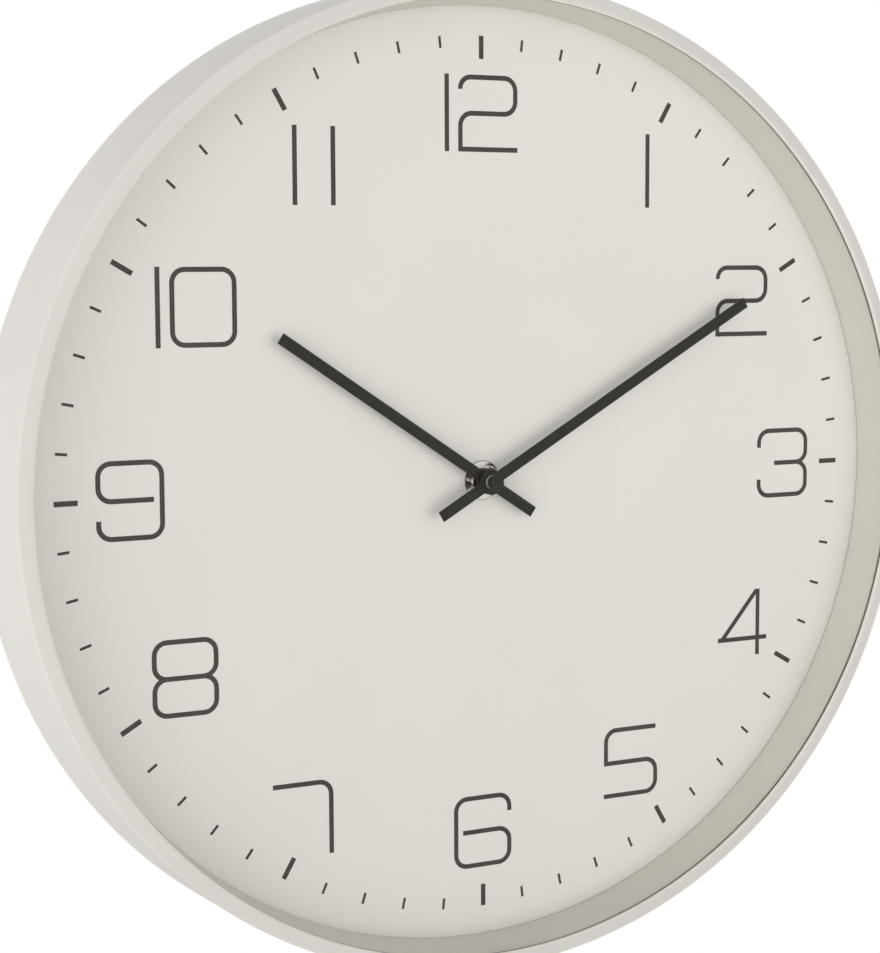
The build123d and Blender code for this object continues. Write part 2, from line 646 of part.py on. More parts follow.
def positive_contact():
    """Strip along the bay's end wall, from the cell's nub to the circuit board."""
    x = (CONTACT_FACE, CONTACT_FACE + CONTACT_SHEET)
    low = CELL_Y - CONTACT_WIDTH / 2
    strip = block(x, (low, BOARD_Y + CONTACT_FLAT), contact_span())
    beside_board = (WEB_OUTER, BOARD_Y + CONTACT_FLAT)
    strip -= block(x, beside_board, (contact_span()[0], BOARD_BACK))
    return strip - block(x, beside_board, (BOARD_FRONT, contact_span()[1]))


def negative_contact():
    """Bowed leaf against the cell's base, with a long tail inside the gear room to the board."""
    wall = CONTACT_SIDE - ROOM_X
    bow = CELL_BASE - CONTACT_SIDE - CONTACT_SHEET
    half = CELL_DIAMETER / 2 - EDGE_BREAK
    leaf = Polygon(
        (wall, CELL_Y - half),
        (wall + CONTACT_SHEET, CELL_Y - half),
        (bow + CONTACT_SHEET, CELL_Y - CONTACT_FLAT / 2),
        (bow + CONTACT_SHEET, CELL_Y + CONTACT_FLAT / 2),
        (wall + CONTACT_SHEET, CELL_Y + half),
        (wall, CELL_Y + half),
        (bow, CELL_Y + CONTACT_FLAT / 2),
        (bow, CELL_Y - CONTACT_FLAT / 2),
        align=None,
    )
    span = contact_span()
    contact = Pos(0, 0, span[0]) * extrude(leaf, span[1] - span[0])
    tail_front = THIRD_LAYER - PINION_RUN
    strip_y = (WEB_INNER, WEB_INNER + CONTACT_SHEET)
    wall_x = (wall, wall + CONTACT_SHEET)
    contact += block(wall_x, (CELL_Y + half - CONTACT_SHEET, strip_y[1]), (span[0], tail_front))
    contact += block((wall, BOARD_X + CONTACT_FLAT), strip_y, (span[0], tail_front))
    foot_x = (BOARD_X + CONTACT_SHEET, BOARD_X + CONTACT_FLAT)
    foot_y = (strip_y[0], strip_y[1] + CONTACT_SHEET)
    return contact + block(foot_x, foot_y, (tail_front - CONTACT_SHEET, BOARD_BACK))


def circuit_board():
    """Small board beside the positive contact."""
    x = (BOARD_X, BOARD_X + BOARD_WIDTH)
    return block(x, (BOARD_Y, BOARD_Y + BOARD_HEIGHT), (BOARD_BACK, BOARD_FRONT))


def quartz_crystal():
    """Can of the tuning-fork crystal, lying on the board."""
    can = Cylinder(CRYSTAL_DIAMETER / 2, CRYSTAL_LENGTH, align=BASE)
    at = (BOARD_X + CRYSTAL_INSET, BOARD_Y + BOARD_HEIGHT / 2 - CRYSTAL_LENGTH / 2)
    return Pos(*at, BOARD_BACK - CRYSTAL_DIAMETER / 2) * Rot(-90, 0, 0) * can


def chip_cover():
    """Drop of resin over the bare chip."""
    at = (BOARD_X + BOARD_WIDTH - CHIP_INSET, BOARD_Y + BOARD_HEIGHT / 2)
    drop = disc(CHIP_DIAMETER, BOARD_BACK - CHIP_HEIGHT, BOARD_BACK, at)
    return beveled(drop, 0, CHIP_HEIGHT - CHIP_EDGE)


def stator():
    """Flat pole piece with the rotor's hole."""
    low = ROTOR[1] - STATOR_SPAN / 2
    x = (ROTOR[0] - STATOR_ARM / 2, ROTOR[0] + STATOR_ARM / 2)
    plate = block(x, (low, low + STATOR_SPAN), (STATOR_BACK, CORE_BACK))
    plate += disc(STATOR_RING, STATOR_BACK, CORE_BACK, ROTOR)
    return plate - disc(STATOR_HOLE, STATOR_BACK, CORE_BACK, ROTOR)


def coil_core():
    """Bracket-shaped core that closes the magnetic path through the coil."""
    low = ROTOR[1] - STATOR_SPAN / 2
    high = low + STATOR_SPAN
    z = (CORE_BACK, CORE_FRONT)
    left = ROTOR[0] - STATOR_ARM / 2
    right = COIL_X + CORE_WIDTH / 2
    core = block((COIL_X - CORE_WIDTH / 2, right), (low, high), z)
    core += block((left, right), (low, low + CORE_WIDTH), z)
    return core + block((left, right), (high - CORE_WIDTH, high), z)


def along_coil(piece):
    """Lay a piece that is modelled along Z on the coil's axis."""
    z = (CORE_BACK + CORE_FRONT) / 2
    return Pos(COIL_X, ROTOR[1], z) * Rot(90, 0, 0) * piece


def coil_bobbin():
    """Spool with two square flanges around the core."""
    tube = (CORE_WIDTH + 2 * BOBBIN_WALL, STATOR_THICKNESS + 2 * BOBBIN_WALL)
    spool = Box(*tube, BOBBIN_LENGTH)
    for end in (-1, 1):
        spool += Pos(0, 0, end * (BOBBIN_LENGTH - BOBBIN_FLANGE) / 2) * Box(
            BOBBIN_SIZE, BOBBIN_SIZE, BOBBIN_FLANGE
        )
    clear = 2 * PRESS_FIT
    return along_coil(spool - Box(CORE_WIDTH + clear, STATOR_THICKNESS + clear, BOBBIN_LENGTH))


def coil_winding():
    """Body of fine wire wound on the spool."""
    tube = (CORE_WIDTH + 2 * BOBBIN_WALL, STATOR_THICKNESS + 2 * BOBBIN_WALL)
    length = BOBBIN_LENGTH - 2 * BOBBIN_FLANGE
    clear = 2 * PRESS_FIT
    winding = Cylinder(COIL_DIAMETER / 2, length) - Box(tube[0] + clear, tube[1] + clear, length)
    return along_coil(winding)


# Turns of the meshing gears at rest
THIRD_TURN = meshing_turn(CENTER_TEETH, 0, THIRD_LEAVES, direction(CENTER, THIRD))
SECONDS_TURN = meshing_turn(THIRD_TEETH, 0, SECONDS_LEAVES, direction(THIRD, SECONDS))
INTERMEDIATE_TURN = meshing_turn(
    SECONDS_TEETH, 0, INTERMEDIATE_LEAVES, direction(SECONDS, INTERMEDIATE)
)
ROTOR_TURN = meshing_turn(INTERMEDIATE_TEETH, 0, ROTOR_LEAVES, direction(INTERMEDIATE, ROTOR))
MINUTE_TURN = meshing_turn(CANNON_LEAVES, 0, MINUTE_TEETH, direction(CENTER, SETTING))
HOUR_TURN = meshing_turn(MINUTE_LEAVES, 0, HOUR_TEETH, direction(SETTING, CENTER))


def train_arbor(place):
    """Arbor with a thinner pivot at each end, from the cover to the gear plate."""
    pivots = disc(PIVOT, COVER_FRONT - PIVOT_DEPTH + PIVOT_END, PLATE_FRONT - PIVOT_END, place)
    return pivots + disc(ARBOR, COVER_FRONT + PIVOT_END, PLATE_BACK - PIVOT_END, place)


def train_wheel(place, layer, teeth, leaves, leaves_turn):
    """Wheel with its pinion in front of it, on one arbor."""
    front = layer + WHEEL_THICKNESS
    wheel = gear(teeth, TRAIN_MODULE, WHEEL_TOOTH, layer, front, place, 0)
    pinion_front = front + LAYER_STEP + PINION_RUN
    pinion = gear(leaves, TRAIN_MODULE, PINION_TOOTH, front, pinion_front, place, leaves_turn)
    return wheel + pinion + train_arbor(place)


def rotor_pinion():
    """Pinion and arbor of the stepping motor's rotor."""
    back = INTERMEDIATE_LAYER - PINION_RUN
    front = INTERMEDIATE_LAYER + WHEEL_THICKNESS + PINION_RUN
    pinion = gear(ROTOR_LEAVES, TRAIN_MODULE, PINION_TOOTH, back, front, ROTOR, ROTOR_TURN)
    return pinion + train_arbor(ROTOR)


def rotor_magnet():
    """Ring magnet on the rotor's arbor, inside the stator's hole."""
    middle = (STATOR_BACK + CORE_BACK) / 2
    span = (middle - MAGNET_HEIGHT / 2, middle + MAGNET_HEIGHT / 2)
    return disc(MAGNET_DIAMETER, *span, ROTOR) - disc(ARBOR + 2 * PRESS_FIT, *span, ROTOR)


def center_wheel():
    """Wheel that grips the minute shaft by friction, so the hands can be set."""
    front = CENTER_LAYER + WHEEL_THICKNESS
    hub = THIRD_LAYER + WHEEL_THICKNESS + PINION_RUN
    wheel = gear(CENTER_TEETH, TRAIN_MODULE, WHEEL_TOOTH, CENTER_LAYER, front, CENTER, 0)
    wheel += disc(2 * CLUTCH_SEAT, hub, CENTER_LAYER)
    wheel -= disc(CLUTCH_SEAT + 2 * PIVOT_FIT, hub, front)
    half = CLUTCH_SEAT
    slot = (-PIVOT / 2, PIVOT / 2)
    return wheel - block((-half, half), slot, (hub, CENTER_LAYER))


def minute_arbor():
    """Shaft of the minute hand with the cannon pinion, from the cover to the hand's nut."""
    seat = THIRD_LAYER + WHEEL_THICKNESS
    shoulder = CENTER_LAYER + WHEEL_THICKNESS + PIVOT_END
    shaft = disc(PIVOT, COVER_FRONT - PIVOT_DEPTH + PIVOT_END, COVER_FRONT + PIVOT_END)
    shaft += disc(ARBOR_TAIL, COVER_FRONT + PIVOT_END, seat)
    shaft += disc(CLUTCH_SEAT, seat, shoulder)
    shaft += disc(MINUTE_SHAFT, shoulder, SHAFT_FRONT)
    return shaft + gear(
        CANNON_LEAVES, MOTION_MODULE, PINION_TOOTH, CANNON_BACK, CANNON_FRONT, CENTER, 0
    )


def minute_wheel():
    """Reversing wheel of the motion work; its shaft runs out at the back for the knob."""
    front = MINUTE_LAYER + WHEEL_THICKNESS
    pinion_front = HOUR_FRONT + PINION_RUN
    wheel = gear(MINUTE_TEETH, MOTION_MODULE, WHEEL_TOOTH, MINUTE_LAYER, front, SETTING, MINUTE_TURN)
    wheel += gear(MINUTE_LEAVES, HOUR_MODULE, PINION_TOOTH, front, pinion_front, SETTING, 0)
    wheel += disc(SETTING_SHAFT, KNOB_BACK + KNOB_FLOOR, WALL_BACK - PIVOT_END, SETTING)
    return wheel + disc(PIVOT, WALL_BACK - PIVOT_END, WALL_BACK + PIVOT_DEPTH - PIVOT_END, SETTING)


def hour_wheel():
    """Hour wheel with the pipe that carries the hour hand."""
    back = CANNON_FRONT + PIVOT_END
    bush_back = WALL_BACK - BUSH_FLANGE_HEIGHT
    wheel = gear(HOUR_TEETH, HOUR_MODULE, WHEEL_TOOTH, HOUR_LAYER, HOUR_FRONT, CENTER, HOUR_TURN)
    wheel += disc(HOUR_PIPE + 2 * COLLET_WALL, back, bush_back - PIVOT_END)
    wheel += disc(HOUR_PIPE, back, PIPE_FRONT)
    return wheel - disc(MINUTE_SHAFT + 2 * SHAFT_FIT, back, PIPE_FRONT)


def setting_knob():
    """Fluted thumb knob on the minute wheel's shaft."""
    module = KNOB_DIAMETER / (KNOB_TEETH + 2 * KNOB_TOOTH[0])
    knob = gear(KNOB_TEETH, module, KNOB_TOOTH, KNOB_BACK, KNOB_FRONT, CENTER, 0)
    knob -= disc(SETTING_SHAFT + 2 * PRESS_FIT, KNOB_BACK + KNOB_FLOOR, KNOB_FRONT)
    return Pos(*SETTING, 0) * knob


def hand(reach, tail, angle, back, bore, collet_back):
    """Straight sheet hand with a round boss and a collet, turned clockwise from twelve."""
    front = back + HAND_THICKNESS
    half = HAND_WIDTH / 2
    blade = block((-half, half), (-tail, reach), (back, front)) + disc(HAND_BOSS, back, front)
    blade = beveled(blade, -1, HAND_BEVEL) + disc(bore + 2 * COLLET_WALL, collet_back, back)
    blade -= disc(bore + 2 * PRESS_FIT, collet_back, front)
    return Rot(0, 0, -angle) * blade


def hour_hand():
    """Hour hand on the hour pipe."""
    collet_back = BUSH_FRONT + COLLET_GAP
    return hand(HOUR_REACH, HOUR_TAIL, HOUR_ANGLE, HOUR_HAND_BACK, HOUR_PIPE, collet_back)


def minute_hand():
    """Minute hand on the minute shaft."""
    collet_back = PIPE_FRONT + COLLET_GAP
    args = (MINUTE_REACH, MINUTE_TAIL_REACH, MINUTE_ANGLE, MINUTE_HAND_BACK)
    return hand(*args, MINUTE_SHAFT, collet_back)


def hand_nut():
    """Round nut that holds the minute hand on its shaft."""
    nut = disc(HAND_NUT_DIAMETER, MINUTE_HAND_FRONT, HAND_NUT_FRONT)
    nut -= disc(MINUTE_SHAFT + 2 * THREAD_PLAY, MINUTE_HAND_FRONT, SHAFT_FRONT)
    return nut - disc(CAP_PIN + 2 * PRESS_FIT, SHAFT_FRONT, HAND_NUT_FRONT)


def hand_cap():
    """Round cap pushed into the nut."""
    cap = disc(CAP_DIAMETER, HAND_NUT_FRONT, HAND_NUT_FRONT + CAP_HEIGHT)
    cap = beveled(cap, -1, CAP_BEVEL)
    return cap + disc(CAP_PIN, SHAFT_FRONT + PIVOT_END, HAND_NUT_FRONT)


NODES = {
    "case_shell": case_shell(),
    "case_lugs": case_lugs(),
    "lens_gasket": lens_gasket(),
    "front_glass": front_glass(),
    "reveal_ring": reveal_ring(),
    "dial_plate": dial_plate(),
    "back_plate": back_plate(),
    "back_screws": back_screws(),
    "hanger_plate": hanger_plate(),
    "hanger_rivets": hanger_rivets(),
    "movement_case": movement_case(),
    "movement_cover": movement_cover(),
    "gear_plate": gear_plate(),
    "center_bush": center_bush(),
    "rubber_washer": washer(RUBBER_DIAMETER, MOVEMENT_FRONT, DIAL_BACK),
    "bush_washer": washer(WASHER_DIAMETER, DIAL_FACE, NUT_BACK),
    "bush_nut": bush_nut(),
    "battery": battery(),
    "positive_contact": positive_contact(),
    "negative_contact": negative_contact(),
    "circuit_board": circuit_board(),
    "quartz_crystal": quartz_crystal(),
    "chip_cover": chip_cover(),
    "stator": stator(),
    "coil_core": coil_core(),
    "coil_bobbin": coil_bobbin(),
    "coil_winding": coil_winding(),
    "rotor_pinion": rotor_pinion(),
    "rotor_magnet": rotor_magnet(),
    "intermediate_wheel": train_wheel(
        INTERMEDIATE, INTERMEDIATE_LAYER, INTERMEDIATE_TEETH, INTERMEDIATE_LEAVES, INTERMEDIATE_TURN
    ),
    "seconds_wheel": train_wheel(
        SECONDS, SECONDS_LAYER, SECONDS_TEETH, SECONDS_LEAVES, SECONDS_TURN
    ),
    "third_wheel": train_wheel(THIRD, THIRD_LAYER, THIRD_TEETH, THIRD_LEAVES, THIRD_TURN),
    "center_wheel": center_wheel(),
    "minute_arbor": minute_arbor(),
    "minute_wheel": minute_wheel(),
    "hour_wheel": hour_wheel(),
    "setting_knob": setting_knob(),
    "hour_hand": hour_hand(),
    "minute_hand": minute_hand(),
    "hand_nut": hand_nut(),
    "hand_cap": hand_cap(),
}

os.makedirs("parts", exist_ok=True)
for name, shape in NODES.items():
    pieces = shape if isinstance(shape, list) else [shape]
    solids = [solid for piece in pieces for solid in (Rot(90, 0, 0) * piece).solids()]
    export_step(solids[0] if len(solids) == 1 else Compound(children=solids), f"parts/{name}.step")
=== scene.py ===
"""Looks of a round wall clock: painted case, glass, printed dial, black hands and quartz movement.

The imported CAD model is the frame. Sizes are in millimetres: radii from the hands' axis, and heights
from the wall towards the viewer.
"""

import json
import math

import bmesh
import bpy
from mathutils import Matrix, Vector


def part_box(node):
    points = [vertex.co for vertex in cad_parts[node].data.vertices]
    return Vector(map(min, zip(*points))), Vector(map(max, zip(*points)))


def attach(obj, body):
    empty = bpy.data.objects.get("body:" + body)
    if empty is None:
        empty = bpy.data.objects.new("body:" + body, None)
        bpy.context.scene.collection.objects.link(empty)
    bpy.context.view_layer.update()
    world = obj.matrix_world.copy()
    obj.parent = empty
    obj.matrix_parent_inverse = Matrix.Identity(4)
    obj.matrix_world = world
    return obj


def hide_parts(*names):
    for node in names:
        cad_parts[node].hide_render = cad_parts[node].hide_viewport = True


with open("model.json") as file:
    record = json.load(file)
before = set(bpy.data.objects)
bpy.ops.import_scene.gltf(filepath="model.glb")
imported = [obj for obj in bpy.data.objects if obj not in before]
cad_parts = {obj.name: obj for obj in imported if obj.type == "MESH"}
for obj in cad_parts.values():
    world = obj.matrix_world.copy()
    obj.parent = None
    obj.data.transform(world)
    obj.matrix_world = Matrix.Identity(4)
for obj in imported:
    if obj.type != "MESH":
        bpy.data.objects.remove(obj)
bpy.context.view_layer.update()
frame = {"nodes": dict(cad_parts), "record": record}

MM = 0.001
FINE_TURN = 360  # segments of the large rings
SMALL_TURN = 72  # segments of the small turned pieces
FASTENER_TURN = 48  # segments of screws and rivets
ARC_STEP = math.radians(10)  # of rounded corners
SHARP = math.radians(38)  # edges steeper than this stay crisp
SEAT = 0.02  # keeps two faces that touch from lying in one plane


def heights(node):
    """Heights of a CAD node's back and front."""
    low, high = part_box(node)
    return -high.y / MM, -low.y / MM


def radii(node):
    """Smallest and largest distance of a CAD node's corners from the hands' axis."""
    spans = [math.hypot(vertex.co.x, vertex.co.z) / MM for vertex in frame["nodes"][node].data.vertices]
    return min(spans), max(spans)


# Sizes that the dressed pieces take over from the CAD model
CASE_DEPTH = heights("case_shell")[1]
LIP_RADIUS, CASE_RADIUS = radii("case_shell")
GLASS_BACK, GLASS_FRONT = heights("front_glass")
LIP_BACK = heights("lens_gasket")[1]
STACK_RADIUS = radii("front_glass")[1]
REVEAL_BACK_RADIUS = radii("reveal_ring")[0]
DIAL_BACK, DIAL_FACE = heights("dial_plate")
DIAL_HOLE = radii("dial_plate")[0]
WASHER_FRONT = heights("bush_washer")[1]
WASHER_RADIUS = radii("bush_washer")[1]
BUSH_FLANGE_BACK, BUSH_FRONT = heights("center_bush")
BUSH_BORE, BUSH_FLANGE_RADIUS = radii("center_bush")
HAND_NUT_BACK, HAND_NUT_FRONT = heights("hand_nut")
HAND_NUT_RADIUS = radii("hand_nut")[1]
CAP_BACK, CAP_FRONT = heights("hand_cap")
CAP_RADIUS = radii("hand_cap")[1]

# Sizes of the CAD model that its nodes' boxes don't tell
CASE_FRONT_RADIUS = 197.1
CASE_WALL = 1.6
FRONT_CORNER = 3.5
REVEAL_WALL = 1.2
REVEAL_INSET = 0.6
REVEAL_FRONT_RADIUS = STACK_RADIUS - REVEAL_WALL - REVEAL_INSET
BUSH_RADIUS = 4.0
BUSH_FLANGE = 1.0
BUSH_SHOULDER = BUSH_FLANGE_BACK + BUSH_FLANGE
HAND_NUT_BORE = 1.52
CAP_PIN = 0.8
BACK_FACE = 3.5
BACK_FRONT = 6.0

# Edges and relief that only the dressed pieces have
SHOULDER_DROP = 1.4  # the lip slopes back by this much out to the wall
SHOULDER_ROUND = 1.5
CROWN_INSET = 1.2  # from the lip's opening out to where that slope starts
CROWN_ROUND = 4.0
SHOULDER_HIGHLIGHT_REACH = 0.7 * SHOULDER_ROUND  # how far the painted highlight, a paler paint, reaches from the corner
LIP_HIGHLIGHT_WIDTH = 0.3  # width of the painted highlight, a lighter paint, at the lip's opening
REVEAL_FOOT = 1.1  # rounding of the inner wall's foot, seen as a dark crease
GLASS_BEVEL = 0.35
GLASS_INDEX = 1.12  # low, so that the dial shows clearly
WASHER_EDGE = 0.2
BUSH_PITCH = 0.6
BUSH_THREAD_DEPTH = 0.28
BUSH_CHAMFER = 0.15
GRIP_HEIGHT = 1.0  # middle of the hand nut's grip groove
GRIP_HALF = 0.2
GRIP_DEPTH = 0.25
PIN_GAP = 0.01  # round the cap's pin
PIN_ROOM = 0.08  # behind it
CAP_RIM = 0.15  # depth of the rim below the crown
CAP_CROWN = (0.4, 0.03)  # share of the radius, and depth, where the crown flattens


def tone(red, green, blue):
    """Linear colour of an sRGB tone written from 0 to 255."""
    linear = []
    for value in (red, green, blue):
        share = value / 255
        linear.append(share / 12.92 if share <= 0.04045 else ((share + 0.055) / 1.055) ** 2.4)
    return (*linear, 1.0)


def scaled(color, share):
    """The same colour, darker or lighter."""
    return (*(min(1.0, value * share) for value in color[:3]), 1.0)


def spot(x, z, height):
    """Place in the row frame of a point across, up and off the wall."""
    return Vector((x, -height, z)) * MM


class Finish:
    """A material whose colour, gloss and relief come from its own nodes."""

    def __init__(self, name, color, rough, **values):
        self.material = bpy.data.materials.new(name)
        self.material.use_nodes = True
        self.material.diffuse_color = color
        self.tree = self.material.node_tree
        self.shader = self.tree.nodes["Principled BSDF"]
        self.color = color
        self.rough = rough
        self.place = self.add("ShaderNodeTexCoord").outputs["Object"]
        self.shader.inputs["Base Color"].default_value = color
        self.shader.inputs["Roughness"].default_value = rough
        for socket, value in values.items():
            self.shader.inputs[socket.replace("_", " ")].default_value = value

    def add(self, kind, **settings):
        node = self.tree.nodes.new(kind)
        for setting, value in settings.items():
            setattr(node, setting, value)
        return node

    def join(self, output, node, socket):
        self.tree.links.new(output, node.inputs[socket])

    def vector(self, operation, source, amount):
        node = self.add("ShaderNodeVectorMath", operation=operation)
        node.inputs[1].default_value = amount
        self.join(source, node, 0)
        return node

    def noise(self, size, detail=2.0, stretch=(1, 1, 1)):
        """Soft noise with blobs about size millimetres across."""
        amount = [share / (size * MM) for share in stretch]
        node = self.add("ShaderNodeTexNoise")
        node.inputs["Scale"].default_value = 1.0
        node.inputs["Detail"].default_value = detail
        self.join(self.vector("MULTIPLY", self.place, amount).outputs[0], node, "Vector")
        return node.outputs["Fac"]

    def turning(self, pitch):
        """Rings about the hands' axis, as a lathe leaves them."""
        flat = self.vector("MULTIPLY", self.place, (1 / (pitch * MM), 0, 1 / (pitch * MM)))
        length = self.add("ShaderNodeVectorMath", operation="LENGTH")
        self.join(flat.outputs[0], length, 0)
        node = self.add("ShaderNodeTexNoise", noise_dimensions="1D")
        node.inputs["Scale"].default_value = 1.0
        self.join(length.outputs["Value"], node, "W")
        return node.outputs["Fac"]

    def cells(self, size):
        """Patches with their own brightness, like crystals in plating."""
        node = self.add("ShaderNodeTexVoronoi")
        node.inputs["Scale"].default_value = 1.0
        self.join(self.vector("MULTIPLY", self.place, [1 / (size * MM)] * 3).outputs[0], node, "Vector")
        split = self.add("ShaderNodeSeparateColor")
        self.join(node.outputs["Color"], split, 0)
        return split.outputs[0]

    def lines(self, axis, pitch):
        """Even ridges across an axis, 0 for X to 2 for Z."""
        split = self.add("ShaderNodeSeparateXYZ")
        self.join(self.vector("MULTIPLY", self.place, [math.tau / (pitch * MM)] * 3).outputs[0], split, 0)
        wave = self.add("ShaderNodeMath", operation="SINE")
        self.join(split.outputs[axis], wave, 0)
        ranged = self.add("ShaderNodeMapRange")
        ranged.inputs["From Min"].default_value = -1.0
        self.join(wave.outputs[0], ranged, "Value")
        return ranged.outputs[0]

    def shade(self, share, dark, light, low=0.35, high=0.65):
        """Colours the surface from dark to light shares of its own colour."""
        ramp = self.add("ShaderNodeValToRGB")
        ends = ramp.color_ramp.elements
        ends[0].position = low
        ends[1].position = high
        ends[0].color = scaled(self.color, dark)
        ends[1].color = scaled(self.color, light)
        self.join(share, ramp, "Fac")
        self.join(ramp.outputs["Color"], self.shader, "Base Color")
        return self

    def gloss(self, share, spread, low=0.3, high=0.7):
        """Lets the roughness wander by spread to each side."""
        ranged = self.add("ShaderNodeMapRange")
        ranged.inputs["From Min"].default_value = low
        ranged.inputs["From Max"].default_value = high
        ranged.inputs["To Min"].default_value = self.rough - spread
        ranged.inputs["To Max"].default_value = self.rough + spread
        self.join(share, ranged, "Value")
        self.join(ranged.outputs[0], self.shader, "Roughness")
        return self

    def bump(self, share, depth):
        """Adds relief of that depth in millimetres."""
        node = self.add("ShaderNodeBump")
        node.inputs["Distance"].default_value = depth * MM
        self.join(share, node, "Height")
        self.join(node.outputs["Normal"], self.shader, "Normal")
        return self


def painted(name, color, rough, peel, depth, clouds):
    """Sprayed matt paint: faint clouding, and the fine ripple of the dried coat."""
    finish = Finish(name, color, rough, Specular_IOR_Level=0.3)
    finish.shade(finish.noise(size=55, detail=9.0), dark=1 - clouds, light=1 + clouds)
    finish.gloss(finish.noise(size=2.5), spread=0.05)
    return finish.bump(finish.noise(peel, detail=1.0), depth)


def moulded(name, color, rough, grain, depth):
    """Moulded plastic with a spark-eroded grain and faint flow clouds."""
    finish = Finish(name, color, rough)
    finish.shade(finish.noise(size=30, detail=6.0), dark=0.975, light=1.02)
    finish.gloss(finish.noise(size=1.5), spread=0.06)
    return finish.bump(finish.noise(grain, detail=2.0), depth)


def turned_metal(name, color, rough, pitch, depth):
    """Bright metal with the rings left by the lathe."""
    finish = Finish(name, color, rough, Metallic=1.0)
    marks = finish.turning(pitch)
    finish.shade(marks, dark=0.9, light=1.05)
    finish.gloss(finish.noise(size=1.0, detail=4.0), spread=0.05)
    return finish.bump(marks, depth)


def plated(name, color, rough, crystal):
    """Plated sheet or wire: small crystal patches and a fine drawn grain."""
    finish = Finish(name, color, rough, Metallic=1.0)
    finish.shade(finish.cells(crystal), dark=0.86, light=1.06, low=0.0, high=1.0)
    finish.gloss(finish.noise(size=1.2, detail=5.0), spread=0.07)
    return finish.bump(finish.noise(size=0.5, detail=3.0, stretch=(1, 1, 6)), depth=0.004)


def lens_finish():
    """Clear glass, polished on both faces."""
    finish = Finish("clear_glass", tone(254, 255, 254), rough=0.0, Transmission_Weight=1.0, IOR=GLASS_INDEX)
    return finish.shade(finish.noise(size=90), dark=0.996, light=1.0)


def winding_finish():
    """Enamelled copper wire, laid turn by turn along the coil."""
    finish = Finish("wound_copper", tone(188, 104, 58), rough=0.32, Metallic=1.0)
    wire = finish.lines(axis=2, pitch=0.16)
    finish.shade(wire, dark=0.6, light=1.08, low=0.0, high=1.0)
    return finish.bump(wire, depth=0.05)


def laminate_finish():
    """Brown paper laminate with darker fibres."""
    finish = Finish("paper_laminate", tone(160, 138, 94), rough=0.6)
    finish.shade(finish.noise(size=1.2, detail=6.0, stretch=(1, 1, 4)), dark=0.8, light=1.12)
    return finish.bump(finish.noise(size=0.3, detail=3.0), depth=0.01)


FINISHES = {
    "case_paint": painted(
        "case_powder_coat", tone(227, 224, 220), rough=0.42, peel=1.1, depth=0.012, clouds=0.012
    ),
    "dial_paint": painted(
        "dial_lacquer", tone(239, 236, 232), rough=0.6, peel=0.6, depth=0.003, clouds=0.008
    ),
    "hand_paint": painted(
        "hand_black_lacquer", tone(32, 27, 16), rough=0.45, peel=0.7, depth=0.006, clouds=0.08
    ),
    "lens_glass": lens_finish(),
    "seal_rubber": moulded("seal_rubber", tone(62, 57, 52), rough=0.72, grain=0.5, depth=0.015),
    "back_plastic": moulded("back_moulding", tone(172, 170, 167), rough=0.55, grain=0.7, depth=0.02),
    "zinc_steel": plated("zinc_plate", tone(205, 207, 208), rough=0.34, crystal=1.6),
    "nickel_brass": turned_metal("bright_nickel", tone(214, 209, 202), rough=0.2, pitch=0.18, depth=0.003),
    "turned_brass": turned_metal("turned_brass", tone(222, 192, 130), rough=0.26, pitch=0.15, depth=0.004),
    "movement_plastic": moulded("movement_moulding", tone(46, 46, 47), rough=0.5, grain=0.45, depth=0.012),
    "gear_plastic": moulded("acetal", tone(232, 229, 219), rough=0.38, grain=0.8, depth=0.004),
    "cell_jacket": painted(
        "cell_jacket", tone(124, 130, 136), rough=0.32, peel=1.5, depth=0.004, clouds=0.04
    ),
    "contact_spring": plated("contact_plate", tone(214, 211, 204), rough=0.26, crystal=0.9),
    "board_laminate": laminate_finish(),
    "crystal_can": plated("drawn_can", tone(216, 216, 216), rough=0.22, crystal=0.7),
    "chip_resin": moulded("chip_resin", tone(34, 33, 33), rough=0.28, grain=1.4, depth=0.02),
    "soft_iron": plated("punched_iron", tone(178, 177, 174), rough=0.38, crystal=0.6),
    "coil_copper": winding_finish(),
    "magnet_ferrite": moulded("pressed_ferrite", tone(76, 76, 78), rough=0.62, grain=0.25, depth=0.02),
}
# Darker, warmer copy of the case paint for the inner ring: painted shade of the recess
REVEAL_SHADED_PAINT = painted("reveal_painted_shade", tone(223, 219, 213), rough=0.45, peel=1.1, depth=0.012, clouds=0.012)
# Paler paint on the shoulder's corner: a painted highlight
SHOULDER_HIGHLIGHT_PAINT = painted("shoulder_painted_highlight", tone(233, 230, 225), rough=0.38, peel=1.1, depth=0.006, clouds=0.012)
# Lighter paint at the lip's opening: a painted highlight of its rounded edge
LIP_HIGHLIGHT_PAINT = painted("lip_painted_highlight", tone(246, 241, 232), rough=0.3, peel=1.1, depth=0.006, clouds=0.02)
INK = painted("dial_ink", tone(69, 63, 57), rough=0.5, peel=0.4, depth=0.003, clouds=0.10)
GROUND_EDGE = moulded("ground_glass_edge", tone(186, 204, 196), rough=0.5, grain=0.25, depth=0.02)
CELL_BAND = painted("cell_band", tone(74, 92, 104), rough=0.32, peel=1.5, depth=0.004, clouds=0.04)
CELL_STEEL = plated("cell_steel", tone(216, 214, 208), rough=0.24, crystal=0.8)
# Darker steel for the screws' recesses and the rivets' sunk mandrels: painted shade in the hollows
RECESS_SHADE = plated("recess_painted_shade", tone(112, 111, 108), rough=0.5, crystal=0.8)
# Darker metal for the washer's rolled edge: painted shade of its contact shadow and dark reflections
WASHER_EDGE_SHADE = turned_metal("washer_edge_painted_shade", tone(104, 99, 93), rough=0.4, pitch=0.1, depth=0.004)
RUBBED_MARK = moulded("rubbed_mark", tone(128, 127, 124), rough=0.5, grain=0.45, depth=0.012)


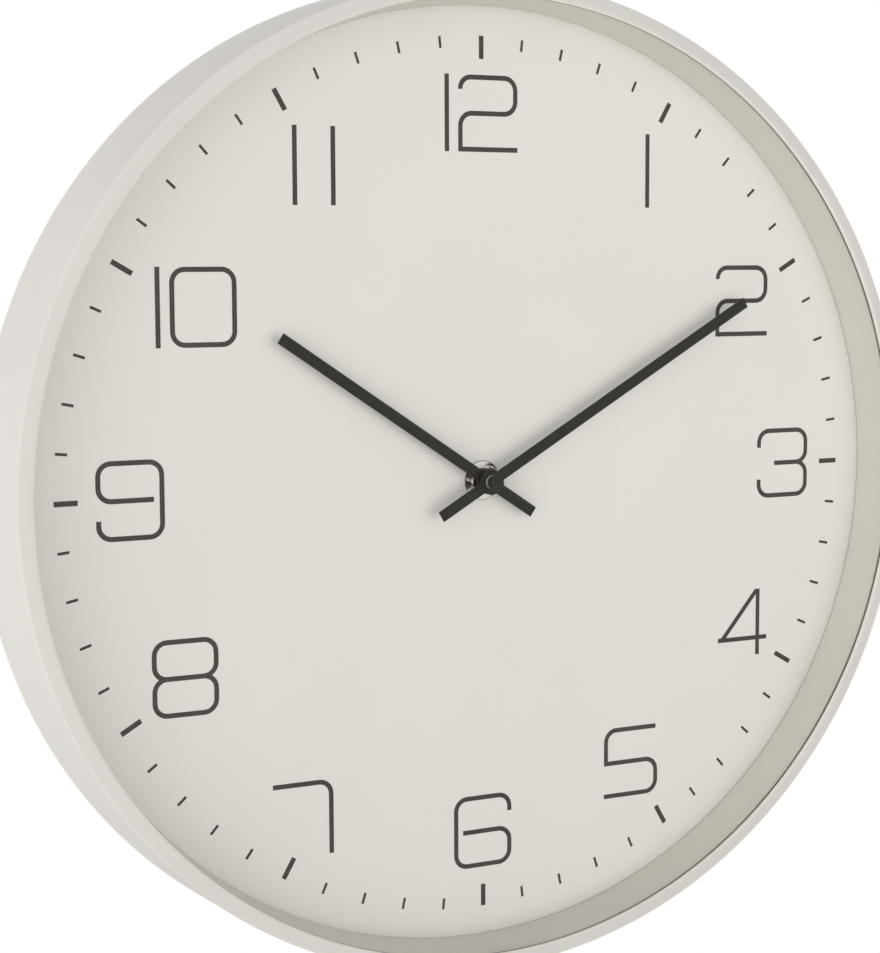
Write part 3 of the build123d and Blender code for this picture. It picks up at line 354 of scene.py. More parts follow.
def softened(corners, closed=True):
    """Points of an outline through (x, y, radius) corners, each rounded to its radius."""
    points = []
    last = len(corners) - 1
    for index, (x, y, radius) in enumerate(corners):
        here = Vector((x, y))
        if radius == 0 or (not closed and index in (0, last)):
            points.append(here)
            continue
        back = (Vector(corners[index - 1][:2]) - here).normalized()
        ahead = (Vector(corners[0 if index == last else index + 1][:2]) - here).normalized()
        half = back.angle(ahead) / 2
        middle = here + (back + ahead).normalized() * radius / math.sin(half)
        start = here + back * radius / math.tan(half) - middle
        end = here + ahead * radius / math.tan(half) - middle
        turn = math.atan2(start.x * end.y - start.y * end.x, start.dot(end))
        steps = max(2, round(abs(turn) / ARC_STEP))
        for step in range(steps + 1):
            points.append(middle + Matrix.Rotation(turn * step / steps, 2) @ start)
    return points


def revolved(profile, segments, closed=True):
    """Bmesh of (radius, height) points turned about the hands' axis."""
    bm = bmesh.new()
    rings = []
    for radius, height in profile:
        if radius == 0:
            rings.append([bm.verts.new(spot(0, 0, height))])
            continue
        ring = []
        for step in range(segments):
            angle = math.tau * step / segments
            ring.append(bm.verts.new(spot(radius * math.cos(angle), radius * math.sin(angle), height)))
        rings.append(ring)
    pairs = list(zip(rings, rings[1:]))
    if closed:
        pairs.append((rings[-1], rings[0]))
    for low, high in pairs:
        for step in range(segments):
            corners = [low[step % len(low)], low[(step + 1) % len(low)]]
            corners += [high[(step + 1) % len(high)], high[step % len(high)]]
            corners = list(dict.fromkeys(corners))
            if len(corners) > 2:
                bm.faces.new(corners)
    return bm


def prism(bm, outline, bottom, top):
    """Adds an upright block over an outline of (x, z) points on the dial."""
    low = [bm.verts.new(spot(x, z, bottom)) for x, z in outline]
    high = [bm.verts.new(spot(x, z, top)) for x, z in outline]
    count = len(outline)
    bm.faces.new(low)
    bm.faces.new(high)
    for index in range(count):
        after = (index + 1) % count
        bm.faces.new((low[index], low[after], high[after], high[index]))


def ribbon(bm, path, width, bottom, top, closed=False):
    """Adds a flat bar of even width along a path of (x, z) points on the dial."""
    count = len(path)
    rows = []
    for index, here in enumerate(path):
        back = path[index - 1] if closed or index else here
        ahead = path[(index + 1) % count] if closed or index < count - 1 else here
        if closed or 0 < index < count - 1:
            first = (here - back).normalized()
            second = (ahead - here).normalized()
            along = (first + second).normalized()
            stretch = 1 / along.dot(first)
        else:
            along = (ahead - back).normalized()
            stretch = 1
        side = Vector((-along.y, along.x)) * width / 2 * stretch
        corners = ((here + side, bottom), (here - side, bottom), (here - side, top), (here + side, top))
        rows.append([bm.verts.new(spot(flat.x, flat.y, height)) for flat, height in corners])
    pairs = list(zip(rows, rows[1:]))
    if closed:
        pairs.append((rows[-1], rows[0]))
    else:
        bm.faces.new(rows[0])
        bm.faces.new(rows[-1])
    for low, high in pairs:
        for index in range(4):
            after = (index + 1) % 4
            bm.faces.new((low[index], low[after], high[after], high[index]))


def place_of(face):
    """Radius and height of the middle of a face."""
    middle = face.calc_center_median() / MM
    return Vector((math.hypot(middle.x, middle.z), -middle.y))


def meshed(name, bm):
    """Mesh of a bmesh, which is freed."""
    mesh = bpy.data.meshes.new(name)
    bm.to_mesh(mesh)
    bm.free()
    return mesh


def piece(name, bm, body, finishes, nodes=()):
    """Makes a bmesh into a piece that rides on a body and stands for its CAD nodes."""
    bmesh.ops.recalc_face_normals(bm, faces=bm.faces)
    mesh = meshed(name, bm)
    mesh.polygons.foreach_set("use_smooth", [True] * len(mesh.polygons))
    mesh.set_sharp_from_angle(angle=SHARP)
    for finish in finishes:
        mesh.materials.append(finish.material)
    made = bpy.data.objects.new(name, mesh)
    bpy.context.scene.collection.objects.link(made)
    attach(made, body)
    if nodes:
        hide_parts(*nodes)
    return made


def case_body():
    """Spun ring with a crisp shoulder, from which the lip rises gently to its softened opening."""
    taper = (CASE_RADIUS - CASE_FRONT_RADIUS) / CASE_DEPTH
    bore = CASE_FRONT_RADIUS + taper * (CASE_DEPTH - LIP_BACK)
    shoulder = Vector((CASE_FRONT_RADIUS + taper * SHOULDER_DROP, CASE_DEPTH - SHOULDER_DROP))
    profile = softened(
        [
            (CASE_RADIUS - CASE_WALL, 0, 0.3),
            (CASE_RADIUS, 0, 0.4),
            (*shoulder, SHOULDER_ROUND),
            (LIP_RADIUS + CROWN_INSET, CASE_DEPTH, CROWN_ROUND),
            (LIP_RADIUS, CASE_DEPTH, 0.6),
            (LIP_RADIUS, LIP_BACK, 0.3),
            (bore - CASE_WALL, LIP_BACK, FRONT_CORNER - CASE_WALL),
        ]
    )
    bm = revolved(profile, FINE_TURN)
    for face in bm.faces:
        place = place_of(face)
        # The lip's opening takes a lighter paint: a painted highlight
        if place.x < LIP_RADIUS + LIP_HIGHLIGHT_WIDTH:
            face.material_index = 1
        # The shoulder's corner takes a paler paint: a painted highlight
        elif (place - shoulder).length < SHOULDER_HIGHLIGHT_REACH:
            face.material_index = 2
    finishes = [FINISHES["case_paint"], LIP_HIGHLIGHT_PAINT, SHOULDER_HIGHLIGHT_PAINT]
    piece("case_body", bm, "clock_case", finishes, ["case_shell"])


def reveal_wall():
    """Inner ring from the glass down to the dial, its edges lightly rounded."""
    profile = softened(
        [
            (REVEAL_BACK_RADIUS, DIAL_FACE + SEAT, REVEAL_FOOT),
            (STACK_RADIUS, DIAL_FACE + SEAT, 0.15),
            (STACK_RADIUS, DIAL_FACE + REVEAL_WALL, 0.15),
            (REVEAL_BACK_RADIUS + REVEAL_WALL, DIAL_FACE + REVEAL_WALL, 0.5),
            (REVEAL_FRONT_RADIUS + REVEAL_WALL, GLASS_BACK, 0.25),
            (REVEAL_FRONT_RADIUS, GLASS_BACK, 0.4),
        ]
    )
    bm = revolved(profile, FINE_TURN)
    # Its paint is a darker, warmer copy of the case paint: painted shade
    piece("reveal_wall", bm, "clock_case", [REVEAL_SHADED_PAINT], ["reveal_ring"])


def glass_lens():
    """Flat glass with a ground, bevelled edge."""
    face_radius = STACK_RADIUS - GLASS_BEVEL
    profile = [
        (0, GLASS_BACK + SEAT),
        (face_radius, GLASS_BACK + SEAT),
        (STACK_RADIUS, GLASS_BACK + SEAT + GLASS_BEVEL),
        (STACK_RADIUS, GLASS_FRONT - GLASS_BEVEL),
        (face_radius, GLASS_FRONT),
        (0, GLASS_FRONT),
    ]
    bm = revolved(profile, FINE_TURN, closed=False)
    for face in bm.faces:
        if place_of(face).x > face_radius:
            face.material_index = 1
    finishes = [FINISHES["lens_glass"], GROUND_EDGE]
    made = piece("glass_lens", bm, "clock_case", finishes, ["front_glass"])
    made.visible_shadow = False
    made.visible_diffuse = False


def lens_seal():
    """Rubber ring between lip and glass, with a rounded visible edge."""
    profile = softened(
        [
            (LIP_RADIUS, GLASS_FRONT + SEAT, 0.15),
            (STACK_RADIUS, GLASS_FRONT + SEAT, 0.1),
            (STACK_RADIUS, LIP_BACK - SEAT, 0.1),
            (LIP_RADIUS, LIP_BACK - SEAT, 0.15),
        ]
    )
    bm = revolved(profile, FINE_TURN)
    piece("lens_seal", bm, "clock_case", [FINISHES["seal_rubber"]], ["lens_gasket"])


def dial_disc():
    """Lacquered sheet disc with a softened edge round the bush's hole."""
    profile = softened(
        [
            (DIAL_HOLE, DIAL_BACK, 0.1),
            (STACK_RADIUS, DIAL_BACK, 0.2),
            (STACK_RADIUS, DIAL_FACE, 0.2),
            (DIAL_HOLE, DIAL_FACE, 0.1),
        ]
    )
    bm = revolved(profile, FINE_TURN)
    piece("dial_disc", bm, "clock_case", [FINISHES["dial_paint"]], ["dial_plate"])


# Print on the dial
INK_ROOT = 0.05  # below the dial's face
INK_RISE = 0.04  # above it
PRINT_BACK = DIAL_FACE - INK_ROOT
PRINT_FRONT = DIAL_FACE + INK_RISE
PRINT_STEP = 0.008  # between strokes that cross, so that their faces don't share a plane
STROKE = 1.95
HALF_WIDTH = 12.4
HALF_HEIGHT = 14.2
CORNER = 5.0
TICK_END = 177.7
MINUTE_TICK = (173.1, 1.1)  # inner radius and width
HOUR_TICK = (168.6, 2.06)

LEFT, RIGHT = -HALF_WIDTH, HALF_WIDTH
TOP, LOW = HALF_HEIGHT, -HALF_HEIGHT
TIP = STROKE / 2

# Open strokes of each figure as (x, z, corner radius)
OPEN_STROKES = {
    "1": [[(0, TOP + TIP, 0), (0, LOW - TIP, 0)]],
    "2": [
        [
            (LEFT, TOP - 4.8, 0),
            (LEFT, TOP, 4.6),
            (RIGHT, TOP, CORNER),
            (RIGHT, 0, CORNER),
            (LEFT, 0, CORNER),
            (LEFT, LOW, 0),
            (RIGHT + TIP, LOW, 0),
        ]
    ],
    "3": [
        [
            (LEFT, TOP - 7.2, 0),
            (LEFT, TOP, CORNER),
            (RIGHT, TOP, CORNER),
            (RIGHT, 0, CORNER),
            (LEFT + 8.1, 0, 0),
        ],
        [
            (LEFT, LOW + 7.2, 0),
            (LEFT, LOW, CORNER),
            (RIGHT, LOW, CORNER),
            (RIGHT, 0, CORNER),
            (LEFT + 8.1, 0, 0),
        ],
    ],
    "4": [[(8.0, 14.6, 0), (8.0, -14.6, 0)], [(-12.7, -7.0, 0), (12.8, -7.0, 0)]],
    "5": [
        [
            (RIGHT, TOP, 0),
            (LEFT, TOP, CORNER),
            (LEFT, 0, 0),
            (RIGHT, 0, CORNER),
            (RIGHT, LOW, CORNER),
            (LEFT - TIP, LOW, 0),
        ]
    ],
    "6": [
        [
            (RIGHT, TOP - 7.0, 0),
            (RIGHT, TOP, CORNER),
            (LEFT, TOP, CORNER),
            (LEFT, LOW, CORNER),
            (RIGHT, LOW, CORNER),
            (RIGHT, 0, CORNER),
            (LEFT + 3.2, 0, 0),
        ]
    ],
    "7": [[(LEFT, TOP, 0), (RIGHT, TOP, CORNER), (RIGHT, LOW - TIP, 0)]],
}
OPEN_STROKES["9"] = [[(-x, -z, radius) for x, z, radius in OPEN_STROKES["6"][0]]]
FOUR_SLANT = [(6.46, 14.6), (9.02, 14.6), (-10.18, -7.95), (-12.74, -7.95)]


def loop(low, high):
    """Rounded frame of a figure between two heights."""
    return [(LEFT, low, CORNER), (LEFT, high, CORNER), (RIGHT, high, CORNER), (RIGHT, low, CORNER)]


# Closed strokes
LOOPS = {"0": [loop(LOW, TOP)], "8": [loop(LOW, 0), loop(0, TOP)]}

# Figures with the place of their middle on the dial
FIGURES = [
    ("1", -15.4, 147.15),
    ("2", 3.0, 147.15),
    ("1", 78.1, 125.8),
    ("2", 126.25, 71.3),
    ("3", 148.7, 0.25),
    ("4", 128.5, -69.5),
    ("5", 71.55, -124.75),
    ("6", -0.05, -146.0),
    ("7", -80.5, -130.95),
    ("8", -127.95, -69.4),
    ("9", -148.4, -0.15),
    ("1", -136.4, 71.65),
    ("0", -118.3, 71.6),
    ("1", -80.6, 125.35),
    ("1", -64.6, 125.35),
]


def dial_figures():
    """Hour figures, printed as thin raised ink."""
    bm = bmesh.new()
    for figure, x, z in FIGURES:
        strokes = [(path, False) for path in OPEN_STROKES.get(figure, [])]
        strokes += [(path, True) for path in LOOPS.get(figure, [])]
        middle = Vector((x, z))
        for index, (path, closed) in enumerate(strokes):
            points = [middle + point for point in softened(path, closed)]
            ribbon(bm, points, STROKE, PRINT_BACK, PRINT_FRONT + PRINT_STEP * index, closed)
        if figure == "4":
            slant = [(x + across, z + up) for across, up in FOUR_SLANT]
            prism(bm, slant, PRINT_BACK, PRINT_FRONT + PRINT_STEP * len(strokes))
    piece("dial_figures", bm, "clock_case", [INK])


def dial_ticks():
    """Sixty minute marks, every fifth one longer and wider."""
    bm = bmesh.new()
    for minute in range(60):
        start, width = MINUTE_TICK if minute % 5 else HOUR_TICK
        angle = math.tau * minute / 60
        along = Vector((math.sin(angle), math.cos(angle)))
        ribbon(bm, [along * start, along * TICK_END], width, PRINT_BACK, PRINT_FRONT)
    piece("dial_ticks", bm, "clock_case", [INK])


def bush_thread():
    """Threaded bush; the ridges show in front of its nut."""
    root = BUSH_RADIUS - BUSH_THREAD_DEPTH
    profile = [(BUSH_BORE, BUSH_FLANGE_BACK), (BUSH_FLANGE_RADIUS, BUSH_FLANGE_BACK)]
    profile += [(BUSH_FLANGE_RADIUS, BUSH_SHOULDER - SEAT), (BUSH_RADIUS, BUSH_SHOULDER - SEAT)]
    height = DIAL_BACK
    while height + BUSH_PITCH < BUSH_FRONT:
        profile += [(BUSH_RADIUS, height), (root, height + BUSH_PITCH / 2)]
        height += BUSH_PITCH
    profile += [(root, BUSH_FRONT), (BUSH_BORE + BUSH_CHAMFER, BUSH_FRONT)]
    profile += [(BUSH_BORE, BUSH_FRONT - BUSH_CHAMFER)]
    bm = revolved(profile, SMALL_TURN)
    finishes = [FINISHES["turned_brass"]]
    piece("bush_thread", bm, "clock_case", finishes, ["center_bush"])


def washer_disc():
    """Stamped washer; its rolled edge is painted darker than its polished face, as painted shade."""
    profile = softened(
        [
            (DIAL_HOLE, DIAL_FACE + SEAT, 0.1),
            (WASHER_RADIUS, DIAL_FACE + SEAT, 0.1),
            (WASHER_RADIUS, WASHER_FRONT - SEAT, WASHER_EDGE),
            (DIAL_HOLE, WASHER_FRONT - SEAT, 0.1),
        ]
    )
    bm = revolved(profile, SMALL_TURN)
    for face in bm.faces:
        # The rolled edge takes the darker metal: painted shade
        if place_of(face).x > WASHER_RADIUS - WASHER_EDGE:
            face.material_index = 1
    finishes = [FINISHES["nickel_brass"], WASHER_EDGE_SHADE]
    piece("washer_disc", bm, "clock_case", finishes, ["bush_washer"])


def hand_nut_round():
    """Round nut with a grip groove and rounded shoulders."""
    groove = HAND_NUT_BACK + GRIP_HEIGHT
    profile = softened(
        [
            (HAND_NUT_BORE, HAND_NUT_BACK + SEAT, 0.1),
            (HAND_NUT_RADIUS, HAND_NUT_BACK + SEAT, 0.2),
            (HAND_NUT_RADIUS, groove - GRIP_HALF, 0.1),
            (HAND_NUT_RADIUS - GRIP_DEPTH, groove, 0.1),
            (HAND_NUT_RADIUS, groove + GRIP_HALF, 0.1),
            (HAND_NUT_RADIUS, HAND_NUT_FRONT - SEAT, 0.25),
            (CAP_PIN + PIN_GAP, HAND_NUT_FRONT - SEAT, 0),
            (CAP_PIN + PIN_GAP, CAP_BACK - PIN_ROOM, 0),
            (HAND_NUT_BORE, CAP_BACK - PIN_ROOM, 0),
        ]
    )
    bm = revolved(profile, SMALL_TURN)
    piece("hand_nut_round", bm, "minute", [FINISHES["nickel_brass"]], ["hand_nut"])


def cap_dome():
    """Black push-on cap with a low crown."""
    share, depth = CAP_CROWN
    profile = softened(
        [
            (0, CAP_BACK, 0),
            (CAP_PIN, CAP_BACK, 0.1),
            (CAP_PIN, HAND_NUT_FRONT, 0.1),
            (CAP_RADIUS, HAND_NUT_FRONT, 0.2),
            (CAP_RADIUS, CAP_FRONT - CAP_RIM, 0.45),
            (CAP_RADIUS * share, CAP_FRONT - depth, 2.0),
            (0, CAP_FRONT, 0),
        ],
        closed=False,
    )
    bm = revolved(profile, SMALL_TURN, closed=False)
    piece("cap_dome", bm, "minute", [FINISHES["hand_paint"]], ["hand_cap"])


# Fasteners on the back
SCREW_CIRCLE = 191.4
SCREW_COUNT = 6
SCREW_START = 30.0
SCREW_HEAD_RADIUS = 2.8
SCREW_HEAD_BACK = 1.6
SCREW_RADIUS = 1.45
SCREW_END = 12.5
SCREW_POINT = 1.0  # plain length at its end
SCREW_TWIST = 0.9  # radians from one screw's cross to the next
HEAD_CROWN = (0.6, 0.08)  # share of the radius, and depth, where the crown starts to curve
HEAD_RIM = 0.75  # depth of the rim below the crown
THREAD_PITCH = 1.1
THREAD_DEPTH = 0.3
RECESS_ARM = (2.9, 0.72)  # length and width of one bar of the cross
RECESS_DEPTH = 1.1
RECESS_START = 1.0  # the cutter's end behind the head
# Zinc plate, and darker steel as painted shade in the hollows
SCREW_FINISHES = [FINISHES["zinc_steel"], RECESS_SHADE]


def screw_mesh():
    """One pan-head screw with a thread and a cross recess, on the hands' axis."""
    share, depth = HEAD_CROWN
    profile = softened(
        [
            (0, SCREW_HEAD_BACK, 0),
            (SCREW_HEAD_RADIUS * share, SCREW_HEAD_BACK + depth, 3.0),
            (SCREW_HEAD_RADIUS, SCREW_HEAD_BACK + HEAD_RIM, 0.6),
            (SCREW_HEAD_RADIUS, BACK_FACE - SEAT, 0.1),
            (SCREW_RADIUS, BACK_FACE - SEAT, 0),
        ],
        closed=False,
    )
    height = BACK_FACE + THREAD_PITCH
    while height + THREAD_PITCH < SCREW_END - SCREW_POINT:
        profile += [(SCREW_RADIUS - THREAD_DEPTH, height), (SCREW_RADIUS, height + THREAD_PITCH / 2)]
        height += THREAD_PITCH
    profile += [(SCREW_RADIUS - THREAD_DEPTH, height), (0, SCREW_END)]
    bm = revolved(profile, FASTENER_TURN, closed=False)
    bmesh.ops.recalc_face_normals(bm, faces=bm.faces)
    screw = meshed("screw", bm)
    tool = recess_mesh()
    for mesh in (screw, tool):
        for finish in SCREW_FINISHES:
            mesh.materials.append(finish.material)
    return cut(screw, tool)


def recess_mesh():
    """Cutter for the cross recess; the faces that it leaves take the second finish, a painted shade."""
    cutter = bmesh.new()
    length, width = RECESS_ARM
    reach, half = length / 2, width / 2
    cross = [(reach, half), (half, half), (half, reach), (-half, reach), (-half, half), (-reach, half)]
    cross += [(-x, -z) for x, z in cross]
    prism(cutter, cross, SCREW_HEAD_BACK - RECESS_START, SCREW_HEAD_BACK + RECESS_DEPTH)
    bmesh.ops.recalc_face_normals(cutter, faces=cutter.faces)
    for face in cutter.faces:
        face.material_index = 1
    return meshed("recess", cutter)


def cut(mesh, tool):
    """The mesh less the tool, with both scratch objects cleared away."""
    body = bpy.data.objects.new("body", mesh)
    knife = bpy.data.objects.new("knife", tool)
    for thing in (body, knife):
        bpy.context.scene.collection.objects.link(thing)
    boolean = body.modifiers.new("cut", "BOOLEAN")
    boolean.operation = "DIFFERENCE"
    boolean.solver = "EXACT"
    boolean.object = knife
    depsgraph = bpy.context.evaluated_depsgraph_get()
    result = bpy.data.meshes.new_from_object(body.evaluated_get(depsgraph))
    for thing in (body, knife):
        bpy.data.objects.remove(thing)
    for scratch in (mesh, tool):
        bpy.data.meshes.remove(scratch)
    return result


def screw_set():
    """Six screws round the back, each turned a little differently."""
    screw = screw_mesh()
    bm = bmesh.new()
    for index in range(SCREW_COUNT):
        angle = math.radians(SCREW_START + 360 * index / SCREW_COUNT)
        before = len(bm.verts)
        bm.from_mesh(screw)
        bm.verts.ensure_lookup_table()
        place = Matrix.Translation(spot(SCREW_CIRCLE * math.cos(angle), SCREW_CIRCLE * math.sin(angle), 0))
        place @= Matrix.Rotation(SCREW_TWIST * index, 4, "Y")
        bmesh.ops.transform(bm, matrix=place, verts=bm.verts[before:])
    bpy.data.meshes.remove(screw)
    piece("screw_set", bm, "clock_case", SCREW_FINISHES, ["back_screws"])


RIVET_PLACES = [(-17.0, 157.0), (17.0, 157.0)]
RIVET_BACK = 1.3
RIVET_SEAT = 2.3
RIVET_HEAD_RADIUS = 2.75
RIVET_RADIUS = 1.5
RIVET_CROWN = (0.7, 0.1)  # share of the radius, and depth, where the dome starts to curve
RIVET_RIM = 0.7  # depth of the rim below the dome
MANDREL_RADIUS = 0.85
MANDREL_SINK = (0.35, 0.3)  # depth of the broken end, in its middle and at its edge
MANDREL_EDGE = 0.1  # from that edge out to the groove round the mandrel
MANDREL_GROOVE = 0.6  # depth of that groove
MANDREL_FLARE = 0.05  # its widening up to the head's face


def rivet_set():
    """Blind rivets: a domed head with the broken mandrel sunk in its middle."""
    share, depth = RIVET_CROWN
    profile = softened(
        [
            (0, RIVET_BACK + MANDREL_SINK[0], 0),
            (MANDREL_RADIUS - MANDREL_EDGE, RIVET_BACK + MANDREL_SINK[1], 0),
            (MANDREL_RADIUS, RIVET_BACK + MANDREL_GROOVE, 0),
            (MANDREL_RADIUS + MANDREL_FLARE, RIVET_BACK, 0.1),
            (RIVET_HEAD_RADIUS * share, RIVET_BACK + depth, 1.5),
            (RIVET_HEAD_RADIUS, RIVET_BACK + RIVET_RIM, 0.3),
            (RIVET_HEAD_RADIUS, RIVET_SEAT - SEAT, 0.1),
            (RIVET_RADIUS, RIVET_SEAT - SEAT, 0),
            (RIVET_RADIUS, BACK_FRONT, 0.2),
            (0, BACK_FRONT, 0),
        ],
        closed=False,
    )
    one = revolved(profile, FASTENER_TURN, closed=False)
    for face in one.faces:
        place = place_of(face)
        # The sunk mandrel takes the darker steel: painted shade in the hollow
        if place.x < MANDREL_RADIUS and place.y < RIVET_SEAT:
            face.material_index = 1
    shape = meshed("rivet", one)
    bm = bmesh.new()
    for x, z in RIVET_PLACES:
        before = len(bm.verts)
        bm.from_mesh(shape)
        bm.verts.ensure_lookup_table()
        bmesh.ops.translate(bm, vec=spot(x, z, 0), verts=bm.verts[before:])
    bpy.data.meshes.remove(shape)
    piece("rivet_set", bm, "clock_case", SCREW_FINISHES, ["hanger_rivets"])


# Cell
CELL_NUB = 1.3  # length of the positive end
NUB_RADII = (2.75, 2.65)  # at its foot and its end
CELL_CRIMP = 0.25  # the ends are drawn in by this much
JACKET_SKIN = 0.15
JACKET_LIMIT = 0.12  # faces that reach deeper than this are steel
JACKET_ENDS = (0.9, 1.1)  # bare steel at the negative and the positive end
BAND_LENGTH = 14.0
END_DISH = (2.6, 2.3, 0.12)  # the negative end's slope, inner and outer edge from the side, and depth
END_SINK = (3.4, 0.35)  # the positive end's slope, inner edge from the side, and depth


def cell_dressed():
    """AA cell: wrapped jacket with a plain band, crimped steel ends."""
    low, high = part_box("battery")
    length = (high.x - low.x) / MM
    radius = (high.z - low.z) / 2 / MM
    end = length - CELL_NUB
    wrap_start = JACKET_ENDS[0]
    wrap_end = end - JACKET_ENDS[1]
    band = end - BAND_LENGTH
    dish_in, dish_out, dish = END_DISH
    sink_in, sink = END_SINK
    profile = softened(
        [
            (0, dish, 0),
            (radius - dish_in, dish, 0.2),
            (radius - dish_out, 0, 0.2),
            (radius - CELL_CRIMP, 0, 0.5),
            (radius - JACKET_SKIN, wrap_start, 0),
            (radius, wrap_start, 0.1),
            (radius, band, 0),
            (radius, wrap_end, 0.1),
            (radius - JACKET_SKIN, wrap_end, 0),
            (radius - CELL_CRIMP, end, 0.7),
            (radius - sink_in, end - sink, 0.3),
            (NUB_RADII[0], end - sink, 0.2),
            (NUB_RADII[1], length, 0.4),
            (0, length, 0),
        ],
        closed=False,
    )
    bm = revolved(profile, SMALL_TURN, closed=False)
    for face in bm.faces:
        inmost = min(math.hypot(vertex.co.x, vertex.co.z) for vertex in face.verts) / MM
        if inmost < radius - JACKET_LIMIT:
            face.material_index = 2
        elif place_of(face).y > band:
            face.material_index = 1
    lay = Matrix.Translation(Vector((low.x, (low.y + high.y) / 2, (low.z + high.z) / 2)))
    lay @= Matrix.Rotation(math.radians(90), 4, "Z")
    bmesh.ops.transform(bm, matrix=lay, verts=bm.verts)
    finishes = [FINISHES["cell_jacket"], CELL_BAND, CELL_STEEL]
    piece("cell_dressed", bm, "clock_case", finishes, ["battery"])


# Marks moulded on the movement's lid
MARK_RISE = 0.2
MARK_ROOT = 0.05
MARK_WIDTH = 0.7
ARROW_GAP = 2.6  # from the knob's teeth
ARROW_HALF = 55  # degrees to each side of straight up
ARROW_STEP = 5
ARROW_HEAD = (2.6, 1.25)  # length and half width
SIGN_SIZE = 3.4
SIGN_PLACE = (19.0, 4.2)  # from the middle of the bay, and above its edge


def cover_marks():
    """Two-way arrow round the setting knob, and the signs of the cell's ends."""
    low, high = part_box("setting_knob")
    middle = Vector((low.x + high.x, low.z + high.z)) / 2 / MM
    radius = (high.x - low.x) / 2 / MM + ARROW_GAP
    face = heights("movement_cover")[0]
    span = (face - MARK_RISE, face + MARK_ROOT)
    bm = bmesh.new()

    def on_arc(degrees, reach=radius):
        angle = math.radians(degrees)
        return middle + Vector((math.sin(angle), math.cos(angle))) * reach

    arc = [on_arc(degrees) for degrees in range(-ARROW_HALF, ARROW_HALF + 1, ARROW_STEP)]
    ribbon(bm, arc, MARK_WIDTH, *span)
    length, half = ARROW_HEAD
    for side in (-1, 1):
        end = side * ARROW_HALF
        point = side * (ARROW_HALF + math.degrees(length / radius))
        head = [on_arc(end, radius - half), on_arc(end, radius + half), on_arc(point)]
        prism(bm, [tuple(corner) for corner in head], span[0] - PRINT_STEP, span[1])
    across, above = SIGN_PLACE
    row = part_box("movement_cover")[0].z / MM + above
    for sign in (-1, 1):
        place = Vector((sign * across, row))
        half_bar = Vector((SIGN_SIZE / 2, 0))
        ribbon(bm, [place - half_bar, place + half_bar], MARK_WIDTH, *span)
    plus = Vector((across, row))
    half_bar = Vector((0, SIGN_SIZE / 2))
    ribbon(bm, [plus - half_bar, plus + half_bar], MARK_WIDTH, span[0] - PRINT_STEP, span[1])
    piece("cover_marks", bm, "clock_case", [RUBBED_MARK])


def dress_nodes():
    """Gives each CAD node that still shows the finish of its slot."""
    for row in frame["record"]["subparts"]:
        mesh = frame["nodes"][row["node"]].data
        mesh.materials.clear()
        mesh.materials.append(FINISHES[row["material_slot"]].material)


for make in (
    dress_nodes,
    case_body,
    reveal_wall,
    lens_seal,
    glass_lens,
    dial_disc,
    dial_figures,
    dial_ticks,
    bush_thread,
    washer_disc,
    hand_nut_round,
    cap_dome,
    screw_set,
    rivet_set,
    cell_dressed,
    cover_marks,
):
    make()


# Studio
FLOOR_HEIGHT = -0.42
FLOOR_RADIUS = 0.6
FLOOR_TURN = 96
FLOOR_TONE = tone(230, 229, 227)  # as the clock sees it
FLOOR_ROUGH = 0.9
FLOOR_SHADE = 0.3  # as the camera sees it: how dark its shadows are
FLOOR_GLOW = 0.78  # and the white added to them
WHITE = (1, 1, 1, 1)
SOFT_TONE = tone(255, 253, 250)
FRONT_LIGHT = 0.96  # soft light from straight in front
ROUND_LIGHT = 1.0  # soft light from all round the clock
FRONT_BLEND = (-0.88, -0.48)  # Y of the directions where the one turns into the other
SIDE_BLEND = (0.7, -0.9)  # X of the directions where the right's share turns into the left's
LEFT_SHARE = 1.38  # of that light, from each side
RIGHT_SHARE = 0.6
TOP_SHARE = 0.28
LOW_SHARE = 0.64
KEY_POWER = 12.0
KEY_PLACE = Vector((0.55, -2.33, -0.12))
KEY_SIZE = 1.7
LENS = 75.60
SENSOR = 36.0
CAMERA_PLACE = Vector((-0.3748, -0.7409, 0.0856))
CAMERA_RIGHT = Vector((0.89580, -0.44443, -0.00451))
CAMERA_UP = Vector((0.04991, 0.09049, 0.99465))
CAMERA_FORWARD = Vector((0.44164, 0.89123, -0.10324))


def backdrop_share(tree):
    """1 where the eye sees the backdrop, directly or in glass and metal, and 0 for light on the object."""
    path = tree.nodes.new("ShaderNodeLightPath")
    share = path.outputs["Is Camera Ray"]
    for kind in ("Is Glossy Ray", "Is Transmission Ray"):
        either = tree.nodes.new("ShaderNodeMath")
        either.operation = "MAXIMUM"
        tree.links.new(share, either.inputs[0])
        tree.links.new(path.outputs[kind], either.inputs[1])
        share = either.outputs[0]
    direct = tree.nodes.new("ShaderNodeMath")
    direct.operation = "LESS_THAN"
    direct.inputs[1].default_value = 0.5  # before any diffuse bounce
    tree.links.new(path.outputs["Diffuse Depth"], direct.inputs[0])
    both = tree.nodes.new("ShaderNodeMath")
    both.operation = "MULTIPLY"
    tree.links.new(share, both.inputs[0])
    tree.links.new(direct.outputs[0], both.inputs[1])
    return both.outputs[0]


def smooth_step(tree, source, start, end, low, high):
    """Runs smoothly from low to high while the source goes from start to end."""
    node = tree.nodes.new("ShaderNodeMapRange")
    node.interpolation_type = "SMOOTHSTEP"
    limits = {"From Min": start, "From Max": end, "To Min": low, "To Max": high}
    for socket, value in limits.items():
        node.inputs[socket].default_value = value
    tree.links.new(source, node.inputs["Value"])
    return node.outputs["Result"]


